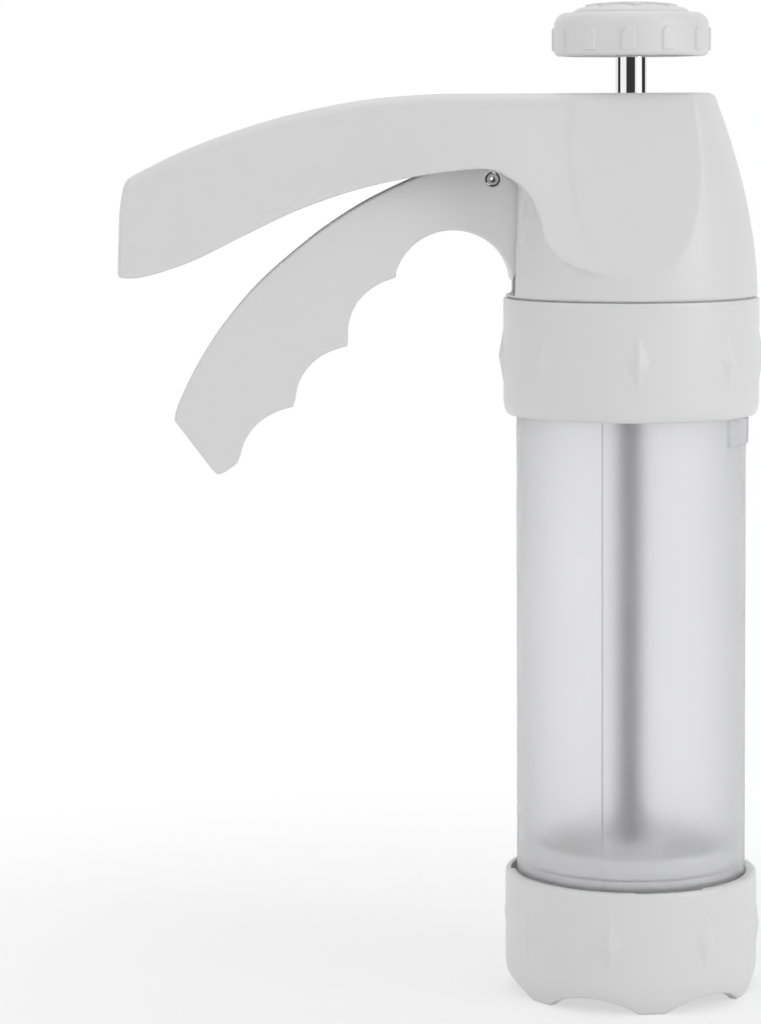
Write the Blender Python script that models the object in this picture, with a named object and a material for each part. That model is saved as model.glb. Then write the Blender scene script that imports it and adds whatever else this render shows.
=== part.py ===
"""Cookie press: a hand press with a squeezed trigger, a ratchet rod, a piston and a clear barrel.

Metres, +Z up. The barrel stands upright on the lower collar's feet at z = 0. The handle reaches
towards -X, so the trigger is squeezed about the +Y direction.
"""

import math

import bmesh
import bpy
from mathutils import Matrix, Vector

# Clearances
GAP = 0.0003
OVERRUN = 0.004
SEAM_STEP = 0.00003

# Heights, from the table up
DISC_SEAT_HEIGHT = 0.0145
LOWER_COLLAR_HEIGHT = 0.0291
UPPER_COLLAR_BOTTOM = 0.1395
UPPER_COLLAR_HEIGHT = 0.0282
HOUSING_HEIGHT = 0.0484
KNOB_GAP = 0.0088
SEAM_HEIGHT = UPPER_COLLAR_BOTTOM + UPPER_COLLAR_HEIGHT
HOUSING_TOP = SEAM_HEIGHT + HOUSING_HEIGHT
KNOB_BOTTOM = HOUSING_TOP + KNOB_GAP

# Barrel
BARREL_RADIUS = 0.0275
BARREL_WALL = 0.0018
BARREL_BORE = BARREL_RADIUS - BARREL_WALL
LUG_HEIGHT = 0.0028
LUG_DEPTH = 0.0011
LUG_COUNT = 3
LUG_HALF_ANGLE = math.radians(13)
NOTCH_HALF_ANGLE = math.radians(17)
UNLOCK_ANGLE = math.radians(45)
MARK_HEIGHT = 0.0062
MARK_HALF_ANGLE = math.radians(17)
MARK_TURN = math.radians(-22)
MARK_PROUD = 0.0006
MARK_DROP = 0.0006
TICK_TURN = math.radians(-12)
TICK_HALF = 0.0019
TICK_WIDTH = 0.0007
TICK_DEPTH = 0.0005

# Collars
COLLAR_WALL = 0.0017
COLLAR_LIP_HEIGHT = 0.003
COLLAR_CHAMBER = BARREL_RADIUS + LUG_DEPTH + GAP
COLLAR_RADIUS = COLLAR_CHAMBER + COLLAR_WALL
COLLAR_LIP_BORE = BARREL_RADIUS + GAP
COLLAR_EDGE = 0.0009
DIAMOND_COUNT = 8
DIAMOND_WIDTH = 0.0056
DIAMOND_LENGTH = 0.0138
UPPER_DIAMOND_PROUD = 0.0010
LOWER_DIAMOND_PROUD = 0.0006
UPPER_DIAMOND_TURN = math.radians(-1)
LOWER_DIAMOND_TURN = math.radians(-8)
LOWER_DIAMOND_MIDDLE = 0.0184
DIAMOND_ROOT = 0.0003
LOWER_COLLAR_WALL = 0.0014
LOWER_COLLAR_RADIUS = COLLAR_CHAMBER + LOWER_COLLAR_WALL
FOOT_INSET = 0.0020
LOWER_COLLAR_FOOT_RADIUS = LOWER_COLLAR_RADIUS - FOOT_INSET
LOWER_COLLAR_CURL_HEIGHT = 0.0075
SEAT_LEDGE = 0.0025
SEAT_WIDTH = 0.0030
MOUTH_WALL = 0.0021
FOOT_COUNT = 6
FOOT_ARCH_HEIGHT = 0.0037
FOOT_ARCH_HALF_ANGLE = math.radians(23.5)
FOOT_TURN = math.radians(4)

# Cookie disc
DISC_THICKNESS = 0.0018
DISC_INSET = 0.0005
DISC_RADIUS = BARREL_RADIUS - DISC_INSET
SEAT_BORE = DISC_RADIUS - SEAT_WIDTH
PETAL_COUNT = 5
PETAL_LENGTH = 0.0110
PETAL_WIDTH = 0.0066
PETAL_POINT_SHARE = 0.8
PETAL_INNER_RADIUS = 0.0045

# Piston and rod
PISTON_BOTTOM = 0.0245
PISTON_HEIGHT = 0.0112
PISTON_SIDE_GAP = 0.0010
PISTON_RADIUS = BARREL_BORE - PISTON_SIDE_GAP
PISTON_WEB = 0.0032
PISTON_SKIRT_WALL = 0.0022
PISTON_HUB_RADIUS = 0.0075
PISTON_RIB_COUNT = 6
PISTON_RIB_WIDTH = 0.0018
SEAL_SECTION = 0.0022
SEAL_HEIGHT = 0.0040
ROD_RADIUS = 0.00375
ROD_STUB_RADIUS = 0.0025
ROD_STUB_HOLE = 0.0028
TOOTH_PITCH = 0.00359
TOOTH_DEPTH = 0.0013
TOOTH_COUNT = 46
TEETH_ABOVE_PAWL = 5
WASHER_RADIUS = 0.0055
WASHER_THICKNESS = 0.0008
SCREW_HEAD_RADIUS = 0.0042
SCREW_HEAD_HEIGHT = 0.0020
STUB_LENGTH = 0.0042

# Knob
KNOB_RADIUS = 0.0183
KNOB_SHOULDER = 0.0030
KNOB_WALL = 0.0022
KNOB_RIM_HEIGHT = 0.0103
KNOB_DISH_RADIUS = 0.0142
KNOB_RIM_SHARE = 0.3
KNOB_CAP_WALL = 0.0016
KNOB_BOSS_RADIUS = 0.0068
TAB_COUNT = 12
TAB_WIDTH = 0.0032
TAB_HEIGHT = 0.0056
TAB_PROUD = 0.0006
TAB_START = 0.0010
TAB_TURN = math.radians(-3)
KNOB_CAP_RADIUS = 0.0139
KNOB_CAP_RISE = 0.0022
STAR_POINTS = 8
STAR_PROUD = 0.0004
STAR_SIDE = 0.0003
STAR_TIP_SHARE = 0.80
STAR_VALLEY_SHARE = 0.56
KNOB_NUT_RADIUS = 0.0048
KNOB_NUT_HEIGHT = 0.0032

# Housing neck and cheeks
WALL = 0.0023
NECK_STEP = 0.0004
NECK_RADIUS = COLLAR_RADIUS - NECK_STEP
NECK_INWARD = 0.0106
NECK_TOP_RADIUS = NECK_RADIUS - NECK_INWARD
NECK_TAPER_SHARE = 1.8
NECK_TOP_EDGE = 0.0022
CHEEK_TOP_HALF = 0.0143
CHEEK_SLOPE_SHARE = 0.3595
SPIGOT_DEPTH = 0.0060
SPIGOT_WALL = 0.0024
SLOT_WALL = 0.0024
SLOT_SILL = 0.0006
SLOT_FRAME_HEIGHT = 0.0300
SLOT_FRAME_DRAFT = 0.0009
SLOT_FRAME_TOP_RADIUS = COLLAR_RADIUS - GAP - SLOT_FRAME_DRAFT
SLOT_FRAME_REACH = 0.0100

# Handle
HANDLE_REACH = 0.1220
HANDLE_FALL = 0.0430
HANDLE_TOP_HALF = 0.0124
HANDLE_DRAFT_SHARE = 0.08
HANDLE_EDGE = 0.0034
HANDLE_TIP_EDGE = 0.0022
HANDLE_TIP_SHARES = (1.0, 0.3, 0.0)
HANDLE_BLEND_START = 0.075
HANDLE_BLEND_END = 0.024

# Trigger
TRIGGER_HALF = 0.0095
TRIGGER_WALL = 0.0024
TRIGGER_EDGE = 0.0012
TRIGGER_EDGE_ANGLE = math.radians(65)
TRIGGER_REACH = 0.0758
TRIGGER_DROP = 0.0700
TRIGGER_SIDE_GAP = 0.0007
PIVOT_REACH = 0.0028
PIVOT_X = -(COLLAR_RADIUS + PIVOT_REACH)
PIVOT_DROP = 0.0202
PIVOT_BOSS_RADIUS = 0.0042
PIN_RADIUS = 0.00145
PIN_BORE = 0.0006
SMALL_PIN_RADIUS = 0.00125
ARCH_RADIUS = 0.0141
WEB_THICKNESS = 0.0024

# Ratchet
PAWL_X = -0.0105
PAWL_RISE = 0.0039
PAWL_THICKNESS = 0.0040
PAWL_EYE_RADIUS = 0.0026
PAWL_EYE_ANGLE = math.radians(215)
PAWL_TIP_REACH = 0.0064
PAWL_TIP_DROP = 0.0080
PAWL_TIP_HEIGHT = 0.0009
PAWL_STEM = 0.0016
PAWL_TEETH_APART = 6
PAWL_NOTCH_DROP = 0.0006
PAWL_SPRING_WIRE = 0.0007
PAWL_SPRING_RADIUS = 0.0021
PAWL_SPRING_CURLS = 3
PAWL_SPRING_PITCH = 0.0012
PAWL_SPRING_LEG = 0.0040
EAR_HALF_LENGTH = 0.0030
RETURN_SPRING_INSET = 0.0050
RETURN_SPRING_RADIUS = 0.0032
RETURN_SPRING_WIRE = 0.0011
RETURN_SPRING_CURLS = 8

# End plate, bushes and screws
END_PLATE_THICKNESS = 0.0025
END_PLATE_RADIUS = COLLAR_CHAMBER - GAP
BUSH_WALL = 0.0022
BUSH_HEIGHT = 0.0060
BUSH_FLANGE = 0.0014
BUSH_FLANGE_HEIGHT = 0.0012
BUSH_BOSS_WALL = 0.0020
TOP_SKIN = 0.0012
FIXING_COUNT = 3
FIXING_INSET = 0.0040
FIXING_BOSS_RADIUS = 0.0031
FIXING_BOSS_HEIGHT = 0.0120
FIXING_SHANK_RADIUS = 0.0012
FIXING_SHANK_LENGTH = 0.0080
FIXING_HEAD_RADIUS = 0.0024
FIXING_HEAD_HEIGHT = 0.0013
FIXING_HEAD_SHARE = 0.8
FIXING_RIB = 0.0024

# Facets
ROUND_STEPS = 40
FLAT_STEPS = 4
NECK_RINGS = 7
SCALLOP_STEPS = 6
ARCH_STEPS = 12
SMALL_STEPS = 16
ROD_STEPS = 12
EDGE_STEPS = 3
CAP_STEPS = 32

# Colours
WHITE_PLASTIC = (0.80, 0.80, 0.80, 1.0)
FROSTED = (0.78, 0.80, 0.83, 1.0)
STEEL = (0.55, 0.55, 0.56, 1.0)
SILICONE = (0.72, 0.72, 0.73, 1.0)
NATURAL_PLASTIC = (0.70, 0.70, 0.68, 1.0)
WHITE_ROUGHNESS = 0.35
FROSTED_ROUGHNESS = 0.5
STEEL_ROUGHNESS = 0.2
SILICONE_ROUGHNESS = 0.7
NATURAL_ROUGHNESS = 0.5
SHARP_ANGLE = math.radians(35)

# Places that follow from the sizes above
BARREL_AXIS_X = (HANDLE_REACH - COLLAR_RADIUS) / 2
LOWER_SHELF = DISC_SEAT_HEIGHT + DISC_THICKNESS
BARREL_BOTTOM = LOWER_SHELF + GAP
END_PLATE_TOP = SEAM_HEIGHT - SPIGOT_DEPTH - GAP
END_PLATE_BOTTOM = END_PLATE_TOP - END_PLATE_THICKNESS
BARREL_TOP = END_PLATE_BOTTOM - GAP
SPIGOT_RADIUS = COLLAR_CHAMBER - GAP
FIXING_CIRCLE = SPIGOT_RADIUS - SPIGOT_WALL - FIXING_INSET
RETURN_SPRING_X = -(SPIGOT_RADIUS - SPIGOT_WALL - RETURN_SPRING_INSET)
PIVOT_Z = HOUSING_TOP - PIVOT_DROP
SLOT_HALF = TRIGGER_HALF + TRIGGER_SIDE_GAP
BOSS_HALF = TRIGGER_HALF - TRIGGER_WALL - TRIGGER_SIDE_GAP
SLOT_FRAME_TOP = SEAM_HEIGHT + SLOT_FRAME_HEIGHT
BUSH_LOW = HOUSING_TOP - TOP_SKIN - BUSH_HEIGHT
PAWL_Z = PIVOT_Z + PAWL_RISE
HOLDING_Z = PAWL_Z - PAWL_TEETH_APART * TOOTH_PITCH
FIRST_SHOULDER = PAWL_Z - PAWL_TIP_DROP + PAWL_NOTCH_DROP - PAWL_TIP_HEIGHT
PISTON_TOP = PISTON_BOTTOM + PISTON_HEIGHT
ROD_BOTTOM = PISTON_TOP + GAP
ROD_TOP = KNOB_BOTTOM + KNOB_RIM_HEIGHT - KNOB_CAP_WALL - KNOB_NUT_HEIGHT - KNOB_WALL - GAP
BUSH_BORE = ROD_RADIUS + GAP
BUSH_RADIUS = BUSH_BORE + BUSH_WALL

# The handle's upper and lower edge, tip to root, as shares of its reach and fall
HANDLE_TOP_SHARES = (
    (0.996, 0.570), (0.985, 0.474), (0.953, 0.416), (0.872, 0.305), (0.769, 0.196),
    (0.656, 0.104), (0.526, 0.033), (0.400, 0.003), (0.311, 0.0), (0.262, 0.0),
)
HANDLE_BOTTOM_SHARES = (
    (1.000, 0.985), (0.992, 1.000), (0.946, 0.993), (0.857, 0.912), (0.754, 0.770),
    (0.652, 0.635), (0.537, 0.523), (0.420, 0.450), (0.341, 0.419), (0.283, 0.412),
)
# The cheek goes on from the handle's root: its upper and lower edge
CHEEK_TOP_SHARES = (
    (0.225, 0.0), (0.185, 0.0), (0.148, 0.0), (0.115, 0.0), (0.074, 0.0), (0.025, 0.0), (-0.033, 0.0),
)
CHEEK_BOTTOM_SHARES = (
    (0.243, 0.456), (0.217, 0.525), (0.203, 0.655), (0.195, 0.772), (0.168, 0.879), (0.107, 0.949),
    (0.033, 0.980),
)

# The trigger's outline about its pivot, as shares of its reach and drop
TRIGGER_BACK_SHARES = (
    (-0.135, 0.050), (-0.256, 0.000), (-0.389, -0.069), (-0.492, -0.137), (-0.580, -0.206),
    (-0.726, -0.341), (-0.839, -0.479), (-0.921, -0.614), (-0.984, -0.751), (-1.000, -0.813),
)
TRIGGER_TIP_SHARES = ((-0.880, -0.985), (-0.864, -1.000), (-0.840, -0.990), (-0.802, -0.960))
TRIGGER_CUSP_SHARES = ((-0.802, -0.960), (-0.625, -0.769), (-0.455, -0.564), (-0.301, -0.331))
SCALLOP_SAG_SHARES = (0.17, 0.19, 0.205)
ARCH_CENTRE_SHARES = (-0.125, -0.374)
TRIGGER_TOE_SHARES = ((0.058, -0.352), (0.088, -0.300), (0.098, -0.105))
TRIGGER_ARM_SHARES = (
    (0.250, -0.105), (0.262, -0.050), (0.335, -0.015), (0.345, 0.015), (0.345, 0.095),
    (0.320, 0.101), (0.240, 0.101), (0.150, 0.075), (0.0, 0.074),
)


def material(name, colour, roughness, metallic=0.0):
    """A plain Principled finish."""
    found = bpy.data.materials.get(name)
    if found:
        return found
    made = bpy.data.materials.new(name)
    made.use_nodes = True
    shader = made.node_tree.nodes["Principled BSDF"]
    shader.inputs["Base Color"].default_value = colour
    shader.inputs["Roughness"].default_value = roughness
    shader.inputs["Metallic"].default_value = metallic
    return made


def white_plastic():
    """Satin white moulding."""
    return material("white_plastic", WHITE_PLASTIC, WHITE_ROUGHNESS)


def natural_plastic():
    """Unpainted bearing plastic."""
    return material("natural_plastic", NATURAL_PLASTIC, NATURAL_ROUGHNESS)


def steel():
    """Bright steel."""
    return material("steel", STEEL, STEEL_ROUGHNESS, 1.0)


def finish_mesh(name, bm, finish, press, smooth=True):
    """Turn a bmesh into an object under the press's empty."""
    bmesh.ops.recalc_face_normals(bm, faces=bm.faces)
    mesh = bpy.data.meshes.new(name)
    bm.to_mesh(mesh)
    bm.free()
    if smooth:
        mesh.shade_smooth()
        mesh.set_sharp_from_angle(angle=SHARP_ANGLE)
    mesh.materials.append(finish)
    made = bpy.data.objects.new(name, mesh)
    bpy.context.collection.objects.link(made)
    made.parent = press
    return made


def turned(profile, steps=ROUND_STEPS, centre=(0.0, 0.0)):
    """Spin a closed (radius, height) profile about a vertical line. Points on the line become poles."""
    bm = bmesh.new()
    loop = [bm.verts.new((radius, 0.0, height)) for radius, height in profile]
    edges = [bm.edges.new((loop[i - 1], loop[i])) for i in range(len(loop)) if
             profile[i - 1][0] or profile[i][0]]
    bmesh.ops.spin(bm, geom=loop + edges, cent=(0, 0, 0), axis=(0, 0, 1), dvec=(0, 0, 0),
                   angle=2 * math.pi, steps=steps, use_merge=True, use_duplicate=False)
    bmesh.ops.remove_doubles(bm, verts=bm.verts, dist=GAP / 1000)
    bmesh.ops.translate(bm, verts=bm.verts, vec=(centre[0], centre[1], 0.0))
    return bm


def extruded(outline, near, far, across="Y"):
    """Extrude a closed outline. Across Y the outline is (x, z), across X it is (y, z), across Z (x, y)."""
    place = {
        "X": lambda point: (near, point[0], point[1]),
        "Y": lambda point: (point[0], near, point[1]),
        "Z": lambda point: (point[0], point[1], near),
    }[across]
    way = {"X": Vector((1, 0, 0)), "Y": Vector((0, 1, 0)), "Z": Vector((0, 0, 1))}[across]
    bm = bmesh.new()
    face = bm.faces.new([bm.verts.new(place(point)) for point in outline])
    grown = bmesh.ops.extrude_face_region(bm, geom=[face])
    moved = [item for item in grown["geom"] if isinstance(item, bmesh.types.BMVert)]
    bmesh.ops.translate(bm, verts=moved, vec=way * (far - near))
    return bm


def lofted(sections):
    """Bridge equal closed sections in turn, with a cap on each end."""
    bm = bmesh.new()
    rings = [[bm.verts.new(point) for point in section] for section in sections]
    for first, second in zip(rings, rings[1:]):
        for i in range(len(first)):
            bm.faces.new((first[i - 1], first[i], second[i], second[i - 1]))
    bm.faces.new(rings[0])
    bm.faces.new(list(reversed(rings[-1])))
    bmesh.ops.remove_doubles(bm, verts=bm.verts, dist=GAP / 1000)
    return bm


def ring(columns):
    """Join closed (radius, height) profiles, one for each even angle, into a ring."""
    bm = bmesh.new()
    rows = []
    for turn, column in zip(spread(len(columns)), columns):
        rows.append([bm.verts.new((r * math.cos(turn), r * math.sin(turn), z)) for r, z in column])
    for before, row in zip([rows[-1]] + rows[:-1], rows):
        for i in range(len(row)):
            bm.faces.new((before[i - 1], row[i - 1], row[i], before[i]))
    bmesh.ops.remove_doubles(bm, verts=bm.verts, dist=GAP / 1000)
    return bm


def circle(x, y, radius, steps=SMALL_STEPS, start=0.0):
    """Points round a circle."""
    turns = [start + 2 * math.pi * i / steps for i in range(steps)]
    return [(x + radius * math.cos(turn), y + radius * math.sin(turn)) for turn in turns]


def arc(x, y, radius, start, end, steps):
    """Points along an arc, both ends counted."""
    turns = [start + (end - start) * i / steps for i in range(steps + 1)]
    return [(x + radius * math.cos(turn), y + radius * math.sin(turn)) for turn in turns]


def rectangle(low_x, low_y, high_x, high_y):
    """A rectangle's four corners."""
    return [(low_x, low_y), (high_x, low_y), (high_x, high_y), (low_x, high_y)]


def smooth_through(points, steps):
    """A smooth curve through the points, with some steps between each two."""
    ends = [points[0]] + list(points) + [points[-1]]
    curve = []
    for before, start, end, after in zip(ends, ends[1:], ends[2:], ends[3:]):
        for i in range(steps):
            t = i / steps
            curve.append(tuple(
                0.5 * (2 * b + (c - a) * t + (2 * a - 5 * b + 4 * c - d) * t ** 2
                       + (3 * b - a - 3 * c + d) * t ** 3)
                for a, b, c, d in zip(before, start, end, after)))
    return curve + [tuple(points[-1])]


def sagged(start, end, share, steps):
    """An arc from start to end that bows out to the left of the way by a share of its length."""
    start, end = Vector(start), Vector(end)
    way = end - start
    bow = Vector((-way.y, way.x)) * share
    curve = []
    for i in range(steps):
        t = i / steps
        curve.append(tuple(start + way * t + bow * (4 * t * (1 - t))))
    return curve


def inset(points, distance):
    """Move an open line of points to its left by a distance."""
    moved = []
    for i, point in enumerate(points):
        before = Vector(points[max(i - 1, 0)])
        after = Vector(points[min(i + 1, len(points) - 1)])
        way = (after - before).normalized()
        moved.append((point[0] - way.y * distance, point[1] + way.x * distance))
    return moved


def combine(target, other, operation):
    """Boolean two objects. The other one stays as a hidden guide."""
    other.hide_render = True
    other.display_type = "WIRE"
    step = target.modifiers.new(operation.lower(), "BOOLEAN")
    step.operation = operation
    step.object = other
    step.solver = "EXACT"


def guide(name, bm, press):
    """A cutter or other guide shape."""
    made = finish_mesh(name, bm, white_plastic(), press, smooth=False)
    made.hide_render = True
    made.display_type = "WIRE"
    return made


def cut(target, name, bm, press):
    """Cut a shape out of the target."""
    combine(target, guide(name, bm, press), "DIFFERENCE")


def add(target, name, bm, press):
    """Join a shape to the target."""
    combine(target, guide(name, bm, press), "UNION")


def rod_along_y(radius, half_length, axis_x, axis_z, steps=SMALL_STEPS):
    """A cylinder along Y, centred on the part's middle plane."""
    return extruded(circle(axis_x, axis_z, radius, steps), -half_length, half_length)


def sector(inner, outer, low, high, middle, half_angle, steps=6):
    """A block between two radii, two heights and two angles."""
    outline = arc(0, 0, outer, middle - half_angle, middle + half_angle, steps)
    outline += arc(0, 0, inner, middle + half_angle, middle - half_angle, steps)
    return extruded(outline, low, high, "Z")


def turn_about_z(angle):
    """A turn about the barrel's line."""
    return Matrix.Rotation(angle, 3, "Z")


def spread(count, turn=0.0):
    """Even angles round a circle."""
    return [turn + 2 * math.pi * i / count for i in range(count)]


def merged(shapes):
    """Put several loose shapes into one bmesh."""
    whole = bmesh.new()
    for shape in shapes:
        mesh = bpy.data.meshes.new("loose")
        shape.to_mesh(mesh)
        shape.free()
        whole.from_mesh(mesh)
        bpy.data.meshes.remove(mesh)
    return whole


def neck_radius(height):
    """The neck's radius at a height above the seam."""
    share = max(0.0, height) / HOUSING_HEIGHT
    return NECK_RADIUS - (NECK_RADIUS - NECK_TOP_RADIUS) * share ** NECK_TAPER_SHARE


def cheek_half(z):
    """Half the width between the flat cheeks at a height."""
    return CHEEK_TOP_HALF + CHEEK_SLOPE_SHARE * (HOUSING_TOP - z)


def side_half(x, z):
    """Half the width of the handle or cheek at a place in the side view."""
    slim = HANDLE_TOP_HALF + HANDLE_DRAFT_SHARE * (HOUSING_TOP - z)
    share = (x + HANDLE_BLEND_START) / (HANDLE_BLEND_START - HANDLE_BLEND_END)
    share = min(1.0, max(0.0, share))
    share = share * share * (3 - 2 * share)
    return slim + share * (cheek_half(z) - slim)


def handle_lines():
    """The upper and lower edge of handle and cheek in the side view, tip to root."""
    def placed(shares):
        return [(-HANDLE_REACH * x, HOUSING_TOP - HANDLE_FALL * z) for x, z in shares]

    upper = smooth_through(placed(HANDLE_TOP_SHARES), 2) + placed(CHEEK_TOP_SHARES)
    lower = smooth_through(placed(HANDLE_BOTTOM_SHARES), 2) + placed(CHEEK_BOTTOM_SHARES)
    return upper, lower


def handle_section(top, bottom, shrink, drop, edge):
    """A closed section between an upper and a lower point, with round upper corners."""
    top, bottom = Vector(top), Vector(bottom)
    up = (top - bottom).normalized()
    top = top - up * drop
    high = side_half(top.x, top.y) - shrink
    low = side_half(bottom.x, bottom.y) - shrink
    points = [(bottom.x, -low, bottom.y)]
    for side in (-1, 1):
        for i in range(EDGE_STEPS + 1):
            turn = math.pi / 2 * i / EDGE_STEPS
            if side > 0:
                turn = math.pi / 2 - turn
            down = top - up * edge * (1 - math.sin(turn))
            points.append((down.x, side * (high - edge + edge * math.cos(turn)), down.y))
    points.append((bottom.x, low, bottom.y))
    return points


def handle_shape():
    """The solid handle and cheek block, tip first."""
    upper, lower = handle_lines()
    sections = []
    for i, (top, bottom) in enumerate(zip(upper, lower)):
        shrink = HANDLE_TIP_EDGE * HANDLE_TIP_SHARES[min(i, 2)] + SEAM_STEP
        sections.append(handle_section(top, bottom, shrink, SEAM_STEP, HANDLE_EDGE))
    return lofted(sections)


def handle_hollow():
    """The channel inside the handle, open below, and the room inside the cheeks."""
    upper, lower = handle_lines()
    root = len(lower) - len(CHEEK_BOTTOM_SHARES)
    inside = inset(lower, -WALL)
    sections = []
    for i, (top, bottom) in enumerate(zip(upper, lower)):
        if top[0] < -HANDLE_REACH + 2 * WALL:
            continue
        if i < root:
            place = (bottom[0], bottom[1] - OVERRUN)
        else:
            place = (inside[i][0], max(inside[i][1], bottom[1]))
        sections.append(handle_section(top, place, WALL + 2 * SEAM_STEP, WALL + SEAM_STEP, HANDLE_EDGE / 2))
    return lofted(sections)


def neck_section(radius, half, z):
    """A circle trimmed by two flats, with its points kept even along arcs and flats."""
    turn = math.asin(min(1.0, half / radius))
    points = []
    for middle in (0.0, math.pi):
        points += arc(0.0, 0.0, radius, middle - turn, middle + turn, ROUND_STEPS // 2)
        start = points[-1]
        points += [(start[0] * (1 - 2 * i / FLAT_STEPS), start[1]) for i in range(1, FLAT_STEPS)]
    return [(x, y, z) for x, y in points]


def neck_shape(shrink, top_drop, foot_radius):
    """The tapered neck with its two flats and the spigot below. Shrunk by a wall it is the hollow."""
    top = HOUSING_TOP - top_drop
    edge = NECK_TOP_EDGE
    foot = END_PLATE_TOP + GAP - (OVERRUN if shrink else 0.0)
    step = SEAM_HEIGHT + (SPIGOT_WALL if shrink else 0.0)
    sections = [neck_section(foot_radius, cheek_half(z), z) for z in (foot, step)]
    tall = top - edge - step
    for i in range(NECK_RINGS + 1):
        z = step + tall * i / NECK_RINGS
        sections.append(neck_section(neck_radius(z - SEAM_HEIGHT) - shrink, cheek_half(z) - shrink, z))
    rim = neck_radius(top - edge - SEAM_HEIGHT) - shrink
    for i in range(1, EDGE_STEPS + 1):
        turn = math.pi / 2 * i / EDGE_STEPS
        inward = edge * (1 - math.cos(turn))
        z = top - edge * (1 - math.sin(turn))
        sections.append(neck_section(rim - inward, cheek_half(z) - shrink - inward, z))
    return lofted(sections)


def slot_frame():
    """The thicker lips on both sides of the trigger's slot."""
    half = SLOT_HALF + SLOT_WALL
    sections = []
    for radius, z in ((COLLAR_RADIUS - GAP, SEAM_HEIGHT), (SLOT_FRAME_TOP_RADIUS, SLOT_FRAME_TOP)):
        turn = math.asin(half / radius)
        points = arc(0.0, 0.0, radius, math.pi - turn, math.pi + turn, ROUND_STEPS // 6)
        points += [(-SLOT_FRAME_REACH, -half), (-SLOT_FRAME_REACH, half)]
        sections.append([(x, y, z) for x, y in points])
    return lofted(sections)


def screw_boss(turn, low):
    """A boss for one of the end plate's screws, with a short wall out to the spigot."""
    start = math.asin(FIXING_RIB / 2 / FIXING_BOSS_RADIUS)
    reach = SPIGOT_RADIUS - SPIGOT_WALL / 2
    outline = arc(FIXING_CIRCLE, 0.0, FIXING_BOSS_RADIUS, start, 2 * math.pi - start, SMALL_STEPS)
    outline += [(reach, -FIXING_RIB / 2), (reach, FIXING_RIB / 2)]
    boss = extruded(outline, low, low + FIXING_BOSS_HEIGHT, "Z")
    bmesh.ops.rotate(boss, verts=boss.verts, cent=(0, 0, 0), matrix=turn_about_z(turn))
    return boss


def housing_bosses():
    """Under the roof the pivot boss, the trigger's stops and the bush boss; below, the screw bosses."""
    root = HOUSING_TOP - WALL / 2
    radius = PIVOT_BOSS_RADIUS
    pivot = rectangle(PIVOT_X - radius, PIVOT_Z, PIVOT_X + radius, root)[2:]
    pivot += arc(PIVOT_X, PIVOT_Z, radius, math.pi, 2 * math.pi, SMALL_STEPS // 2)
    arm_top = PIVOT_Z + TRIGGER_DROP * max(z for _, z in TRIGGER_ARM_SHARES)
    rib = rectangle(PAWL_X - 2 * WALL, arm_top + GAP, PAWL_X - WALL, root)
    inner = TRIGGER_HALF - TRIGGER_WALL
    outer = BUSH_RADIUS + GAP + BUSH_BOSS_WALL
    bush = [(0.0, BUSH_LOW), (outer, BUSH_LOW), (outer, root), (0.0, root)]
    shapes = [extruded(pivot, -BOSS_HALF, BOSS_HALF), extruded(rib, inner, TRIGGER_HALF),
              extruded(rib, -TRIGGER_HALF, -inner), turned(bush, SMALL_STEPS * 2)]
    return merged(shapes + [screw_boss(turn, END_PLATE_TOP + 2 * GAP) for turn in spread(FIXING_COUNT)])


def make_housing(press):
    """The white body: neck, flat cheeks and handle in one open-bottomed moulding."""
    housing = finish_mesh("housing", neck_shape(0.0, 0.0, SPIGOT_RADIUS), white_plastic(), press)
    add(housing, "handle_block", handle_shape(), press)
    add(housing, "slot_frame", slot_frame(), press)
    cut(housing, "neck_hollow", neck_shape(WALL, WALL, SPIGOT_RADIUS - SPIGOT_WALL), press)
    cut(housing, "handle_hollow", handle_hollow(), press)
    slot = rectangle(-HANDLE_REACH / 2, SEAM_HEIGHT + SLOT_SILL, PAWL_X - WALL, PIVOT_Z + PIVOT_BOSS_RADIUS)
    cut(housing, "slot_cutter", extruded(slot, -SLOT_HALF, SLOT_HALF), press)
    add(housing, "housing_bosses", housing_bosses(), press)
    shank = FIXING_SHANK_RADIUS + GAP
    top, low = HOUSING_TOP + OVERRUN, END_PLATE_TOP - OVERRUN
    seat = BUSH_RADIUS + GAP
    stepped = [(0.0, top), (BUSH_BORE + GAP, top), (BUSH_BORE + GAP, HOUSING_TOP - TOP_SKIN),
               (seat, HOUSING_TOP - TOP_SKIN), (seat, BUSH_LOW - OVERRUN), (0.0, BUSH_LOW - OVERRUN)]
    holes = [turned(stepped, SMALL_STEPS * 2), rod_along_y(PIN_RADIUS + GAP, TRIGGER_HALF, PIVOT_X, PIVOT_Z)]
    for turn in spread(FIXING_COUNT):
        x, y = FIXING_CIRCLE * math.cos(turn), FIXING_CIRCLE * math.sin(turn)
        pilot = circle(x, y, shank)
        holes.append(extruded(pilot, low, END_PLATE_TOP + FIXING_SHANK_LENGTH, "Z"))
    cut(housing, "housing_holes", merged(holes), press)
    return housing


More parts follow.
